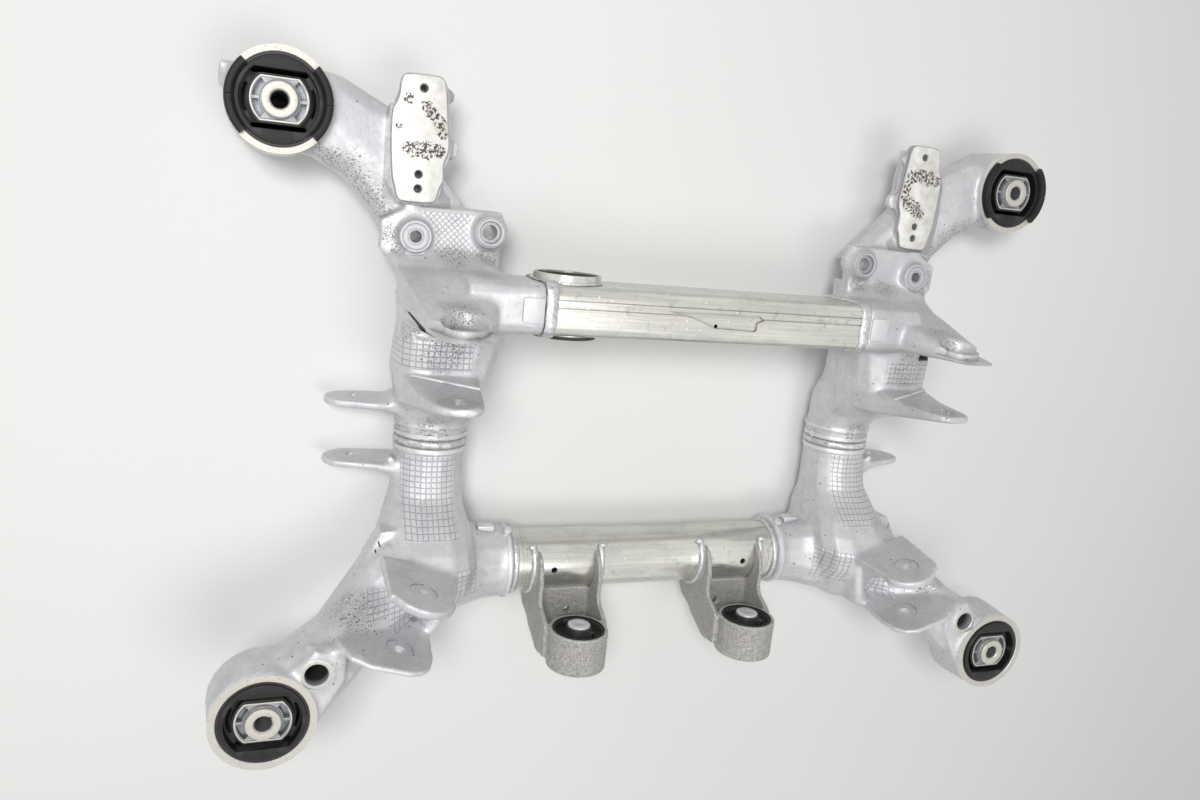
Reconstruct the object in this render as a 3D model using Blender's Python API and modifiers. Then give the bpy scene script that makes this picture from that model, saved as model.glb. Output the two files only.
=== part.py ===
# Rear axle subframe: four cast corner nodes, two cross tubes, four rubber mounts and two
# differential brackets. Sizes are millimetres, turned into metres by MM. X points to the part's
# right, Y to its rear end and Z up from the surface that it lies on.
import math

import bmesh
import bpy
from mathutils import Matrix, Vector

MM = 0.001
GROUND = 240.0
MIDDLE_Y = 326.0
GAP = 0.3
ROUND = 12
JOIN_WITHIN = 0.03

MOUNT_BORE_R = 48.4
SLEEVE_WALL = 2.4
CORE_X = 30.0
CORE_Y = 23.0
CORE_SLEEVE_R = 18.6
CORE_HOLE_R = 9.3
VOID_RIM = 8.4
VOID_R = MOUNT_BORE_R - VOID_RIM
VOID_DEPTH = 12.0
STOP_Y = VOID_R - 9.0
SLOT_X = VOID_R - 13.0
SLOT_Y = STOP_Y - 5.5
SLOT_FLOOR = 10.0
EAR_DEPTH = 12.4

REAR_MOUNT = (497.0, 655.0)
REAR_EYE_WALL = 7.1
REAR_EYE_R = MOUNT_BORE_R + REAR_EYE_WALL
REAR_EYE_Z = (-206.0, -122.0)
REAR_FACE_Z = -114.0
REAR_CORE_Z = (-240.0, -115.0)
FRONT_MOUNT = (500.0, 0.0)
FRONT_EYE_WALL = 8.1
FRONT_EYE_R = MOUNT_BORE_R + FRONT_EYE_WALL
FRONT_EYE_Z = (-66.0, -2.0)
FRONT_CORE_Z = (-96.0, 2.0)

BOX_TUBE_Y = 460.5
BOX_TUBE_Z = -75.0
BOX_TUBE_HALF = (29.5, 50.5)
BOX_TUBE_CORNER = 13.0
BOX_TUBE_WALL = 4.0
BOX_TUBE_END = 206.5
BOX_SOCKET_X = 215.5

COLLAR_X = 178.0
COLLAR_Z = -73.0
COLLAR_EDGE = 11.0
COLLAR_R = BOX_TUBE_HALF[1] - COLLAR_EDGE
COLLAR_WALL = 3.0
COLLAR_Y = (426.5, 500.0)

ROUND_TUBE_Y = 107.0
ROUND_TUBE_Z = -168.0
ROUND_TUBE_R = 40.0
ROUND_TUBE_END_R = 41.2
ROUND_TUBE_WALL = 4.0
ROUND_SOCKET_X = 197.0
ROUND_SOCKET_R = 47.0

NECK_X = 305.0
NECK_Z = -184.0
NECK_R = 43.5
NECK_SPLIT_Y = 272.0
NECK_GAP = 9.0
SPIGOT_R = 37.0
SPIGOT_LENGTH = 22.0
BEAD_RISE = 3.2

BOSSES = ((348.0, 525.0), (262.0, 536.5))
BOSS_R = 19.0
BOSS_Z = -115.0
BOSS_BACK_Z = -150.0
BOSS_HOLES = (7.0, 9.0)
PAD_HOLES = ((345.0, 688.0), (346.0, 594.0), (346.0, 578.0))
PAD_Z = -133.5
PAD_THICK = 12.5
EAR_BOLT = (316.0, 27.0)
SMALL_HOLE = (446.0, 49.0)
SMALL_HOLE_R = 12.8
OUTER_EAR = (404.0, -208.0)
OUTER_EAR_R = 32.0
OUTER_EAR_THICK = 9.0
BOLT_HOLE_R = 6.5

BOLT_PLANE = Vector((-0.27, 0.95, 0.14)).normalized()
EAR_UP = Vector((333.0, 136.0, -16.0))
EAR_DOWN = Vector((354.0, 63.0, -27.0))
BUSH = Vector((122.0, 52.0, -67.0))
BUSH_LENGTH = 50.0
BUSH_R = 31.8
BARREL_R = 38.5
BRACKET_WALL = 6.0


def clear_scene():
    for old in list(bpy.data.objects):
        bpy.data.objects.remove(old, do_unlink=True)


def place(x, y, z):
    return Vector((x * MM, (y - MIDDLE_Y) * MM, (z + GROUND) * MM))


def new_collection(name):
    made = bpy.data.collections.new(name)
    bpy.context.scene.collection.children.link(made)
    return made


def new_material(name, colour, metallic, roughness):
    made = bpy.data.materials.new(name)
    made.use_nodes = True
    shader = made.node_tree.nodes["Principled BSDF"]
    shader.inputs["Base Color"].default_value = (*colour, 1.0)
    shader.inputs["Metallic"].default_value = metallic
    shader.inputs["Roughness"].default_value = roughness
    made.diffuse_color = (*colour, 1.0)
    return made


def new_object(name, mesh, collection):
    made = bpy.data.objects.new(name, mesh)
    collection.objects.link(made)
    return made


def ring_points(centre, along, across, half, power, count):
    """A closed loop between an ellipse (power 2) and a rounded rectangle (power 4 and up)."""
    points = []
    for i in range(count):
        turn = 2 * math.pi * i / count
        c = math.cos(turn)
        s = math.sin(turn)
        a = math.copysign(abs(c) ** (2 / power), c) * half[0]
        b = math.copysign(abs(s) ** (2 / power), s) * half[1]
        points.append(centre + along * a + across * b)
    return points


def loft(name, loops, collection):
    """Skins closed loops of one length, in millimetres, and caps both ends."""
    mesh = bmesh.new()
    rows = [[mesh.verts.new(place(*point)) for point in loop] for loop in loops]
    count = len(rows[0])
    for low, high in zip(rows, rows[1:]):
        for i in range(count):
            j = (i + 1) % count
            mesh.faces.new((low[i], low[j], high[j], high[i]))
    mesh.faces.new(rows[0][::-1])
    mesh.faces.new(rows[-1])
    bmesh.ops.recalc_face_normals(mesh, faces=mesh.faces)
    data = bpy.data.meshes.new(name)
    mesh.to_mesh(data)
    mesh.free()
    return new_object(name, data, collection)


def shaped(name, sections, along, across, collection, count=ROUND):
    """A loft whose rows are (centre, half along, half across, power)."""
    loops = []
    for centre, half_a, half_b, power in sections:
        loops.append(ring_points(Vector(centre), along, across, (half_a, half_b), power, count))
    return loft(name, loops, collection)


def prism(name, outline, origin, along, across, low, high, collection):
    """An outline in the along and across plane, thickened from low to high along its normal."""
    normal = along.cross(across)
    loops = []
    for level in (low, high):
        loops.append([origin + along * a + across * b + normal * level for a, b in outline])
    return loft(name, loops, collection)


def cylinder(name, centre, axis, low, high, radius, collection, count=ROUND, end_radius=None):
    axis = axis.normalized()
    side = axis.orthogonal().normalized()
    up = axis.cross(side)
    last = radius if end_radius is None else end_radius
    loops = []
    for level, size in ((low, radius), (high, last)):
        middle = centre + axis * level
        loops.append(ring_points(middle, side, up, (size, size), 2, count))
    return loft(name, loops, collection)


def turned(name, profile, centre, axis, collection, steps):
    """Screws a profile of (radius, height) points, listed down the outer side first."""
    data = bpy.data.meshes.new(name)
    points = [(radius * MM, 0.0, height * MM) for radius, height in profile]
    closed = [(i, (i + 1) % len(points)) for i in range(len(points))]
    if profile[0][0] < 0.001:
        closed = closed[:-1]
    data.from_pydata(points, closed, [])
    made = new_object(name, data, collection)
    screw = made.modifiers.new("Turn", "SCREW")
    screw.steps = steps
    screw.render_steps = steps
    screw.use_merge_vertices = True
    screw.merge_threshold = 0.00001
    turn = Vector((0, 0, 1)).rotation_difference(axis).to_matrix().to_4x4()
    made.matrix_world = Matrix.Translation(place(*centre)) @ turn
    return made


def arc(centre, radius, start, end, count):
    """Points from start to end degrees round a centre."""
    points = []
    for i in range(count + 1):
        turn = math.radians(start + (end - start) * i / count)
        points.append((centre[0] + radius * math.cos(turn), centre[1] + radius * math.sin(turn)))
    return points


def boolean(target, operation, collection):
    added = target.modifiers.new(operation.title(), "BOOLEAN")
    added.operation = operation
    added.solver = "EXACT"
    added.operand_type = "COLLECTION"
    added.collection = collection


def finish_mesh(target, name, collection, mirrored, flat=1):
    """Reads the evaluated mesh of a target into a new object, turned round for the left side.
    Faces within flat degrees of one plane become one."""
    bpy.context.view_layer.update()
    graph = bpy.context.evaluated_depsgraph_get()
    data = bpy.data.meshes.new_from_object(target.evaluated_get(graph))
    data.name = name
    mesh = bmesh.new()
    mesh.from_mesh(data)
    mesh.transform(target.matrix_world)
    if mirrored:
        mesh.transform(Matrix.Scale(-1, 4, Vector((1, 0, 0))))
        bmesh.ops.reverse_faces(mesh, faces=mesh.faces)
    bmesh.ops.remove_doubles(mesh, verts=mesh.verts, dist=JOIN_WITHIN * MM)
    limit = math.radians(flat)
    bmesh.ops.dissolve_limit(mesh, angle_limit=limit, verts=mesh.verts, edges=mesh.edges)
    mesh.to_mesh(data)
    mesh.free()
    return new_object(name, data, collection)


X = Vector((1, 0, 0))
Y = Vector((0, 1, 0))
Z = Vector((0, 0, 1))


def eye(name, centre, radius, back_radius, span, collection):
    """A mount eye round a Z axis, with rounded rims."""
    low, high = span
    rows = (
        (low, back_radius - 3),
        (low + 3, back_radius),
        (low + 20, back_radius),
        (high - 2, radius),
        (high, radius - 2),
    )
    loops = []
    for level, size in rows:
        loops.append(ring_points(Vector((*centre, level)), X, Y, (size, size), 2, 24))
    return loft(name, loops, collection)


def swept(name, path, radius, collection, count=6):
    """A round bead along a path of points."""
    loops = []
    for i, point in enumerate(path):
        before = Vector(path[max(i - 1, 0)])
        after = Vector(path[min(i + 1, len(path) - 1)])
        direction = (after - before).normalized()
        side = direction.cross(Z).normalized()
        loops.append(ring_points(Vector(point), side, side.cross(direction), (radius, radius), 2, count))
    return loft(name, loops, collection)


def arm_sections(rows):
    """Rows of (x, y, z, direction in degrees, half width, half depth, power) as loft loops."""
    loops = []
    for x, y, z, heading, half_width, half_depth, power in rows:
        turn = math.radians(heading)
        across = Vector((math.cos(turn), math.sin(turn), 0))
        loops.append(ring_points(Vector((x, y, z)), across, Z, (half_width, half_depth), power, ROUND))
    return loops


def outer_ear(name, y, add):
    """The rounded ear that stands out from a node's neck, facing along Y."""
    root_x = 345
    outline = [(root_x, OUTER_EAR[1] - OUTER_EAR_R + 4)]
    outline += arc(OUTER_EAR, OUTER_EAR_R, -90, 78, 8)
    outline.append((root_x, -158))
    half = OUTER_EAR_THICK / 2
    prism(name, outline, Vector((0, y, 0)), X, Z, -half, half, add)


def rear_node_solids(add):
    eye("rear_eye", REAR_MOUNT, REAR_EYE_R, REAR_EYE_R + 2, REAR_EYE_Z, add)
    arm = (
        (484, 653, -163, 97, 45, 34, 3.4),
        (446.5, 646, -164, 106, 48, 33, 3.2),
        (403.5, 624.5, -167, 125, 48.5, 32, 3.2),
        (360, 578, -171, 146, 47, 33, 3.4),
        (323, 531, -172, 170, 58, 38, 4.5),
    )
    loft("rear_arm", arm_sections(arm), add)
    plate = [(246, 560), (300, 562), (360, 556), (386, 541), (386, 508), (374, 496), (246, 496)]
    prism("boss_plate", plate, Vector((0, 0, 0)), X, Y, -144, -127, add)
    for i, (x, y) in enumerate(BOSSES):
        cylinder(f"boss_{i}", Vector((x, y, 0)), Z, BOSS_BACK_Z, BOSS_Z, BOSS_R, add)
        cylinder(f"boss_foot_{i}", Vector((x, y, 0)), Z, -134, BOSS_Z - 6, BOSS_R + 7, add, end_radius=BOSS_R + 1)
    pad = [(325, 703), (320, 697), (317, 682), (314, 664), (313, 640), (313, 612), (317, 602), (318, 588)]
    pad += [(322, 571), (330, 563), (364, 563), (370, 571), (371, 586), (375, 598), (378, 627), (378, 661)]
    pad += [(371, 680), (370, 697), (365, 703)]
    prism("pad", pad, Vector((0, 0, 0)), X, Y, PAD_Z - PAD_THICK, PAD_Z, add)
    stem = [(333, 698), (328, 664), (325, 600), (330, 560), (366, 560), (376, 620), (376, 660), (364, 698)]
    prism("pad_stem", stem, Vector((0, 0, 0)), X, Y, -178, PAD_Z - PAD_THICK / 2, add)
    for x, y, radius in ((318, 683, 9), (312, 625, 12)):
        cylinder(f"pad_lug_{y}", Vector((x, y, 0)), Z, -150, -138, radius, add, 10)
    rib = [(377, 668, -139), (377, 644, -138), (376, 604, -137), (372, 582, -136), (362, 566, -134), (346, 554, -132)]
    swept("pad_rib", rib, 6, add)
    tab = [(REAR_MOUNT[0] + a, REAR_MOUNT[1] + b) for a, b in ((43, 34), (60, 35), (61, 11), (48, 2))]
    prism("eye_tab", tab, Vector((0, 0, 0)), X, Y, -165, -140, add)
    body = (
        ((320, 512, -158), 66, 32, 4.5),
        ((310, 492, -140), 64, 40, 4),
        ((304, 476, -114), 62, 60, 3.6),
        ((301, 455, -96), 65, 70, 3.6),
        ((302, 428, -110), 63, 52, 3.6),
        ((308, 395, -120), 60, 58, 3.6),
        ((311, 368, -130), 56, 68, 3.4),
        ((308, 342, -158), 51, 62, 2.8),
        ((306, 318, -177), 47.5, 51, 2.2),
        ((305, 300, -183), 45.5, 46, 2),
        ((NECK_X, NECK_SPLIT_Y + NECK_GAP / 2, NECK_Z), NECK_R, NECK_R, 2),
    )
    shaped("rear_body", body, X, Z, add, 14)
    cylinder("neck_lip", Vector((NECK_X, 0, NECK_Z)), Y, 277, 286, NECK_R + 2.5, add, 16)
    cylinder("neck_band", Vector((NECK_X, 0, NECK_Z)), Y, 290, 299, NECK_R + 3.2, add, 16)
    socket = (
        ((BOX_SOCKET_X, BOX_TUBE_Y, BOX_TUBE_Z), 30.5, 52, 5.5),
        ((226, BOX_TUBE_Y, BOX_TUBE_Z), 30.5, 53, 5.5),
        ((244, 460, -78), 31.5, 55, 4.5),
        ((264, 459, -83), 33, 58, 4),
        ((300, 460, -90), 31, 60, 4),
    )
    shaped("box_socket", socket, Y, Z, add, 14)
    wedge = (
        ((308, 462, -108), 62, 32, 4.5),
        ((309, 458, -78), 57, 26.5, 5),
        ((311, 454, -50), 51, 23, 5),
        ((314, 449.5, -22), 44, 18, 5),
        ((317, 444.5, 8), 37, 12.5, 5),
        ((318, 440.5, 38), 31, 7.5, 5),
        ((318, 438, 56), 28, 5.2, 5),
        ((318, 437, 67.5), 20, 4, 4),
    )
    shaped("ear_high", wedge, X, Y, add)
    shelf = (
        ((317, 362, -105), 50, 30, 4.5),
        ((318, 357, -70), 46, 19, 5),
        ((317, 356, -30), 40, 12, 5),
        ((317, 357.5, 5), 34, 9, 5),
        ((317, 359.5, 30), 28, 6.5, 5),
        ((316, 360, 43), 22, 5.5, 4),
        ((315, 360, 50), 13, 4.5, 3),
    )
    shaped("ear_low", shelf, X, Y, add)
    outer_ear("ear_outer", 313.5, add)
    hood = (((348, 317, -188), 18, 30, 3), ((364, 315, -192), 8, 32, 3), ((380, 314, -198), 5, 30, 3))
    shaped("ear_outer_root", hood, Y, Z, add, 12)


def rear_node_cuts(cut):
    seat = NECK_SPLIT_Y - NECK_GAP / 2 + SPIGOT_LENGTH + GAP
    cylinder("neck_seat", Vector((NECK_X, 0, NECK_Z)), Y, 260, seat, SPIGOT_R + GAP, cut, 16)
    cylinder("rear_bore", Vector((*REAR_MOUNT, 0)), Z, -260, -60, MOUNT_BORE_R, cut, 24)
    for i, (x, y) in enumerate(BOSSES):
        cylinder(f"boss_hole_{i}", Vector((x, y, 0)), Z, -215, -60, BOSS_HOLES[i], cut, 12)
        cylinder(f"boss_mouth_{i}", Vector((x, y, 0)), Z, BOSS_Z - 4 * i - 1, -60, 9 + 4 * i, cut, 12)
    for i, (x, y) in enumerate(PAD_HOLES):
        cylinder(f"pad_hole_{i}", Vector((x, y, 0)), Z, -160, -60, 4.2, cut, 8)
    seat = Vector((EAR_BOLT[0], 0, EAR_BOLT[1]))
    cylinder("ear_seat", seat, Y, 440.5, 520, 25, cut)
    cylinder("ear_bolt", seat, Y, 330, 450, BOLT_HOLE_R, cut, 12)
    box = [(331, -40), (352, -40), (352, -104), (331, -104)]
    prism("core_window", box, Vector((0, 0, 0)), X, Z, -427.5, -416, cut)
    cylinder("outer_bolt", Vector((399, 0, -214)), Y, 300, 330, BOLT_HOLE_R, cut, 12)


def front_node_solids(add):
    body = (
        ((NECK_X, NECK_SPLIT_Y - NECK_GAP / 2, NECK_Z), NECK_R, NECK_R, 2),
        ((305.5, 252, -184), 44.8, 44.5, 2),
        ((307, 228, -183), 45.5, 46, 2.1),
        ((308, 205, -180), 46.5, 50, 2.2),
        ((309, 188, -174), 49, 58, 2.5),
        ((309, 170, -165), 55, 69, 2.8),
        ((310, 150, -156), 60, 77, 3),
        ((312, 128, -149), 62, 83, 3.2),
        ((313, 104, -150), 60, 80, 3.2),
        ((314, 80, -155), 54, 70, 3),
        ((315, 58, -158), 42, 58, 2.8),
        ((315, 46, -160), 24, 42, 2.4),
    )
    shaped("front_body", body, X, Z, add, 14)
    cylinder("front_lip", Vector((NECK_X, 0, NECK_Z)), Y, 258, 267, NECK_R + 2.5, add, 16)
    spigot = NECK_SPLIT_Y - NECK_GAP / 2
    cylinder("neck_spigot", Vector((NECK_X, 0, NECK_Z)), Y, spigot - 2, spigot + SPIGOT_LENGTH, SPIGOT_R, add, 16)
    socket = (
        ((ROUND_SOCKET_X, ROUND_TUBE_Y, ROUND_TUBE_Z), ROUND_SOCKET_R, ROUND_SOCKET_R, 2),
        ((217, ROUND_TUBE_Y, ROUND_TUBE_Z), ROUND_SOCKET_R, ROUND_SOCKET_R, 2),
        ((236, 107, -168), 49, 50, 2.1),
        ((262, 107, -164), 54, 58, 2.4),
        ((300, 110, -156), 60, 68, 2.8),
    )
    shaped("round_socket", socket, Y, Z, add, 14)
    cylinder("socket_lip", Vector((0, ROUND_TUBE_Y, ROUND_TUBE_Z)), X, 199, 206, ROUND_SOCKET_R + 2, add, 16)
    cylinder("socket_dot", Vector((203, 153, -150)), Vector((0, 0.7, 0.7)), -8, 7, 5, add, 8)
    arm = (
        (482, 8, -46, 55, 46, 34, 3),
        (452, 32, -50, 53, 43, 42, 2.9),
        (421, 55, -62, 51, 37, 50, 2.7),
        (394.8, 77.3, -92, 50, 37.5, 50, 2.5),
        (362, 100.5, -122, 50, 45.5, 52, 2.6),
        (330, 122, -140, 50, 54, 60, 2.8),
    )
    loft("front_arm", arm_sections(arm), add)
    eye("front_eye", FRONT_MOUNT, FRONT_EYE_R, FRONT_EYE_R + 4, FRONT_EYE_Z, add)
    cylinder("hole_boss", Vector((*SMALL_HOLE, 0)), Z, -70, -6, 19, add, 16)
    shelf = [(430, 71), (414, 67), (415, 38), (456, -36), (500, 0), (476, 52), (448, 76)]
    prism("eye_shelf", shelf, Vector((0, 0, 0)), X, Y, -58, -9, add)
    up = [(-80, 372), (6, 372)] + [(z, x) for x, z in arc((333, -16), 39, 20, 160, 8)] + [(-12, 298), (-80, 282)]
    down = [(-20, 424), (6, 411), (15, 390), (17, 366), (16, 346), (10, 331), (-2, 321), (-22, 315), (-84, 312)]
    down += [(-98, 345), (-80, 385)]
    for name, outline, centre, thick in (("ear_up", up, EAR_UP, 11), ("ear_down", down, EAR_DOWN, 7)):
        loops = []
        for drop in (0, thick):
            loop = []
            for z, x in outline:
                y = centre.y - (BOLT_PLANE.x * (x - centre.x) + BOLT_PLANE.z * (z - centre.z)) / BOLT_PLANE.y
                loop.append(Vector((x, y, z)) - BOLT_PLANE * drop)
            loops.append(loop)
        loft(name, loops, add)
    web = (
        ((296, 124, -108), 10, 44, 3),
        ((300, 100, -108), 12, 44, 3),
        ((306, 74, -106), 14, 42, 3),
        ((314, 58, -104), 14, 38, 3),
        ((318, 50, -106), 12, 32, 3),
    )
    shaped("ear_web", web, X, Z, add, 12)
    outer_ear("ear_outer", 237, add)
    hood = (((346, 233, -188), 18, 30, 3), ((362, 235.5, -192), 8, 32, 3), ((378, 236.5, -198), 5, 30, 3))
    shaped("ear_outer_root", hood, Y, Z, add, 12)
    cylinder("knob", Vector((356, 247, -172)), Z, -10, 12, 5, add, 8)
    shoulder = [(352, 174), (370, 171), (388, 138), (384, 129), (362, 104), (340, 110)]
    prism("shoulder", shoulder, Vector((0, 0, 0)), X, Y, -148, -114, add)


def front_node_cuts(cut):
    cylinder("front_bore", Vector((*FRONT_MOUNT, 0)), Z, -130, 40, MOUNT_BORE_R, cut, 24)
    cylinder("small_hole", Vector((*SMALL_HOLE, 0)), Z, -60, 40, SMALL_HOLE_R, cut, 16)
    for name, centre in (("seat_up", EAR_UP), ("seat_down", EAR_DOWN)):
        cylinder(name, centre, BOLT_PLANE, -1, 30, 17, cut)
    cylinder("ear_bolt", EAR_DOWN, EAR_UP - EAR_DOWN, -20, 90, BOLT_HOLE_R, cut, 12)
    cylinder("outer_bolt", Vector((399, 0, -214)), Y, 220, 245, BOLT_HOLE_R, cut, 12)


def collar_relief(cut):
    centre = Vector((COLLAR_X, 0, COLLAR_Z))
    cylinder("collar_relief", centre, Y, 400, 520, COLLAR_R + 3.6, cut, 24)


def cast_pair(name, solids, cuts, left_cuts, parts, tools, material):
    """Joins the solids of one casting, cuts it, and leaves a right and a left copy."""
    add = new_collection(f"{name}_add")
    cut = new_collection(f"{name}_cut")
    solids(add)
    cuts(cut)
    first = add.objects[0]
    add.objects.unlink(first)
    tools.objects.link(first)
    for group in (add, cut):
        bpy.context.scene.collection.children.unlink(group)
        tools.children.link(group)
    boolean(first, "UNION", add)
    boolean(first, "DIFFERENCE", cut)
    for side, mirrored in (("right", False), ("left", True)):
        if mirrored and left_cuts:
            left_cuts(cut)
        made = finish_mesh(first, f"{name}_{side}", parts, mirrored, 8)
        made.data.materials.clear()
        made.data.materials.append(material)


def box_section(inset):
    """The box tube's outline in its own Y and Z, pulled in by inset."""
    half_y = BOX_TUBE_HALF[0] - inset
    half_z = BOX_TUBE_HALF[1] - inset
    radius = BOX_TUBE_CORNER - inset
    points = []
    for sign_y, sign_z, start in ((1, 1, 0), (-1, 1, 90), (-1, -1, 180), (1, -1, 270)):
        corner = (sign_y * (half_y - radius), sign_z * (half_z - radius))
        points += arc(corner, radius, start, start + 90, 3)
    return points


def joined(name, first, add, cut, parts, tools, material, mirrored=False):
    """Applies the unions and cuts of two helper collections to a first solid."""
    for group in (add, cut):
        bpy.context.scene.collection.children.unlink(group)
        tools.children.link(group)
    if add.objects:
        boolean(first, "UNION", add)
    if cut.objects:
        boolean(first, "DIFFERENCE", cut)
    made = finish_mesh(first, name, parts, mirrored, 3)
    made.data.materials.clear()
    made.data.materials.append(material)
    return made


def box_tube(parts, tools, material):
    centre = Vector((0, BOX_TUBE_Y, BOX_TUBE_Z))
    half = BOX_SOCKET_X - GAP
    tube = prism("box_tube_outer", box_section(0), centre, Y, Z, -half, half, tools)
    cut = new_collection("box_tube_cut")
    prism("box_tube_inner", box_section(BOX_TUBE_WALL), centre, Y, Z, -half - 5, half + 5, cut)
    hole = Vector((-COLLAR_X, 0, COLLAR_Z))
    cylinder("collar_hole", hole, Y, 410, 520, COLLAR_R + GAP, cut, 24)
    front = BOX_TUBE_Z + BOX_TUBE_HALF[1]
    cylinder("drain_hole", Vector((-2, 453, 0)), Z, front - 12, front + 5, 2.4, cut, 12)
    for y in (472.5, 463.5):
        groove = [(-half - 5, y), (half + 5, y), (half + 5, y + 1.2), (-half - 5, y + 1.2)]
        prism(f"groove_{y:.0f}", groove, Vector((0, 0, 0)), X, Y, front - 0.9, front + 5, cut)
    dent = [(-66, 468), (-34, 461), (-4, 450.5), (50, 448.5), (53, 451), (53, 459), (62, 463), (56, 468)]
    prism("recess", dent, Vector((0, 0, 0)), X, Y, front - 1.6, front + 5, cut)
    joined("rear_cross_tube", tube, new_collection("box_tube_add"), cut, parts, tools, material)


def collar(parts, material):
    low, high = COLLAR_Y
    inner = COLLAR_R - COLLAR_WALL
    profile = (
        (COLLAR_R - 0.8, high - low),
        (COLLAR_R, high - low - 0.8),
        (COLLAR_R, 0.8),
        (COLLAR_R - 0.8, 0),
        (inner, 0),
        (inner, high - low),
    )
    made = turned("tube_collar", profile, (-COLLAR_X, low, COLLAR_Z), Y, parts, 24)
    made.data.materials.append(material)
    top = BOX_TUBE_Y + BOX_TUBE_HALF[0] + GAP
    bead = ((COLLAR_R + GAP, 2.8), (COLLAR_R + 1.6, 2.4), (COLLAR_R + 3.2, 0), (COLLAR_R + GAP, 0))
    made = turned("collar_weld", bead, (-COLLAR_X, top, COLLAR_Z), Y, parts, 24)
    made.data.materials.append(material)


def box_welds(parts, tools, material):
    """The bead at each end of the box tube. The collar parts the left one into two."""
    for side in (1, -1):
        loops = []
        profile = ((BOX_TUBE_END, GAP), (BOX_TUBE_END + 1.5, 2.2), (BOX_TUBE_END + 4.5, BEAD_RISE))
        profile += ((BOX_SOCKET_X - 2, 2.4), (BOX_SOCKET_X - GAP, 1.6), (BOX_SOCKET_X - GAP, GAP))
        count = len(box_section(0))
        for i in range(count):
            loop = []
            for x, rise in profile:
                a, b = box_section(-rise)[i]
                loop.append(Vector((side * x, BOX_TUBE_Y + a, BOX_TUBE_Z + b)))
            loops.append(loop)
        mesh = bmesh.new()
        rows = [[mesh.verts.new(place(*point)) for point in loop] for loop in loops]
        for i in range(count):
            here = rows[i]
            after = rows[(i + 1) % count]
            for j in range(len(here)):
                k = (j + 1) % len(here)
                mesh.faces.new((here[j], here[k], after[k], after[j]))
        bmesh.ops.recalc_face_normals(mesh, faces=mesh.faces)
        data = bpy.data.meshes.new("bead")
        mesh.to_mesh(data)
        mesh.free()
        if side == 1:
            made = new_object("box_weld_right", data, parts)
            made.data.materials.append(material)
            continue
        for name, low, high in (("front", COLLAR_Z, 0), ("back", -160, COLLAR_Z)):
            first = new_object(f"bead_{name}", data.copy(), tools)
            cut = new_collection(f"bead_{name}_cut")
            hole = Vector((-COLLAR_X, 0, COLLAR_Z))
            cylinder(f"bead_hole_{name}", hole, Y, 400, 520, COLLAR_R + 3.6, cut, 24)
            away = COLLAR_Z - 1 if name == "front" else COLLAR_Z + 1
            far = -200 if name == "front" else 60
            corners = [(-260, 380), (-150, 380), (-150, 540), (-260, 540)]
            prism(f"bead_half_{name}", corners, Vector((0, 0, 0)), X, Y, min(away, far), max(away, far), cut)
            joined(f"box_weld_left_{name}", first, new_collection(f"bead_{name}_add"), cut, parts, tools, material)


def round_tube(parts, tools, material):
    end = ROUND_SOCKET_X - GAP
    thin = ROUND_TUBE_R
    thick = ROUND_TUBE_END_R
    outer = ((thick, end), (thick, 70), (thin, 60), (thin, -60), (thick, -70), (thick, -end))
    inner = ((thick - ROUND_TUBE_WALL, -end), (thin - ROUND_TUBE_WALL, -60), (thin - ROUND_TUBE_WALL, 60))
    inner += ((thick - ROUND_TUBE_WALL, end),)
    first = turned("round_tube", outer + inner, (0, ROUND_TUBE_Y, ROUND_TUBE_Z), X, tools, 24)
    cut = new_collection("round_tube_cut")
    for side in (1, -1):
        hole = Vector((side * 141, 105.8, 0))
        cylinder(f"tube_hole_{side + 1}", hole, Z, -150, -110, 3.4, cut, 12)
    joined("front_cross_tube", first, new_collection("round_tube_add"), cut, parts, tools, material)
    for side, name in ((1, "right"), (-1, "left")):
        bead = (
            (thick + 1.8, 7.6),
            (thick + BEAD_RISE, 5.4),
            (thick + BEAD_RISE, 2.4),
            (thick + 1.6, 0.4),
            (thick + GAP, 0),
            (thick + GAP, 7.6),
        )
        start = (side * (ROUND_SOCKET_X - 8), ROUND_TUBE_Y, ROUND_TUBE_Z)
        made = turned(f"round_weld_{name}", bead, start, X * side, parts, 24)
        made.data.materials.append(material)
        low = NECK_SPLIT_Y - NECK_GAP / 2 + GAP
        width = NECK_GAP - 2 * GAP
        ring = (
            (NECK_R + 1.6, width),
            (NECK_R + BEAD_RISE, width - 2.2),
            (NECK_R + BEAD_RISE, 2.2),
            (NECK_R + 1.6, 0),
            (SPIGOT_R + GAP, 0),
            (SPIGOT_R + GAP, width),
        )
        made = turned(f"neck_weld_{name}", ring, (side * NECK_X, low, NECK_Z), Y, parts, 16)
        made.data.materials.append(material)


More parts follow.
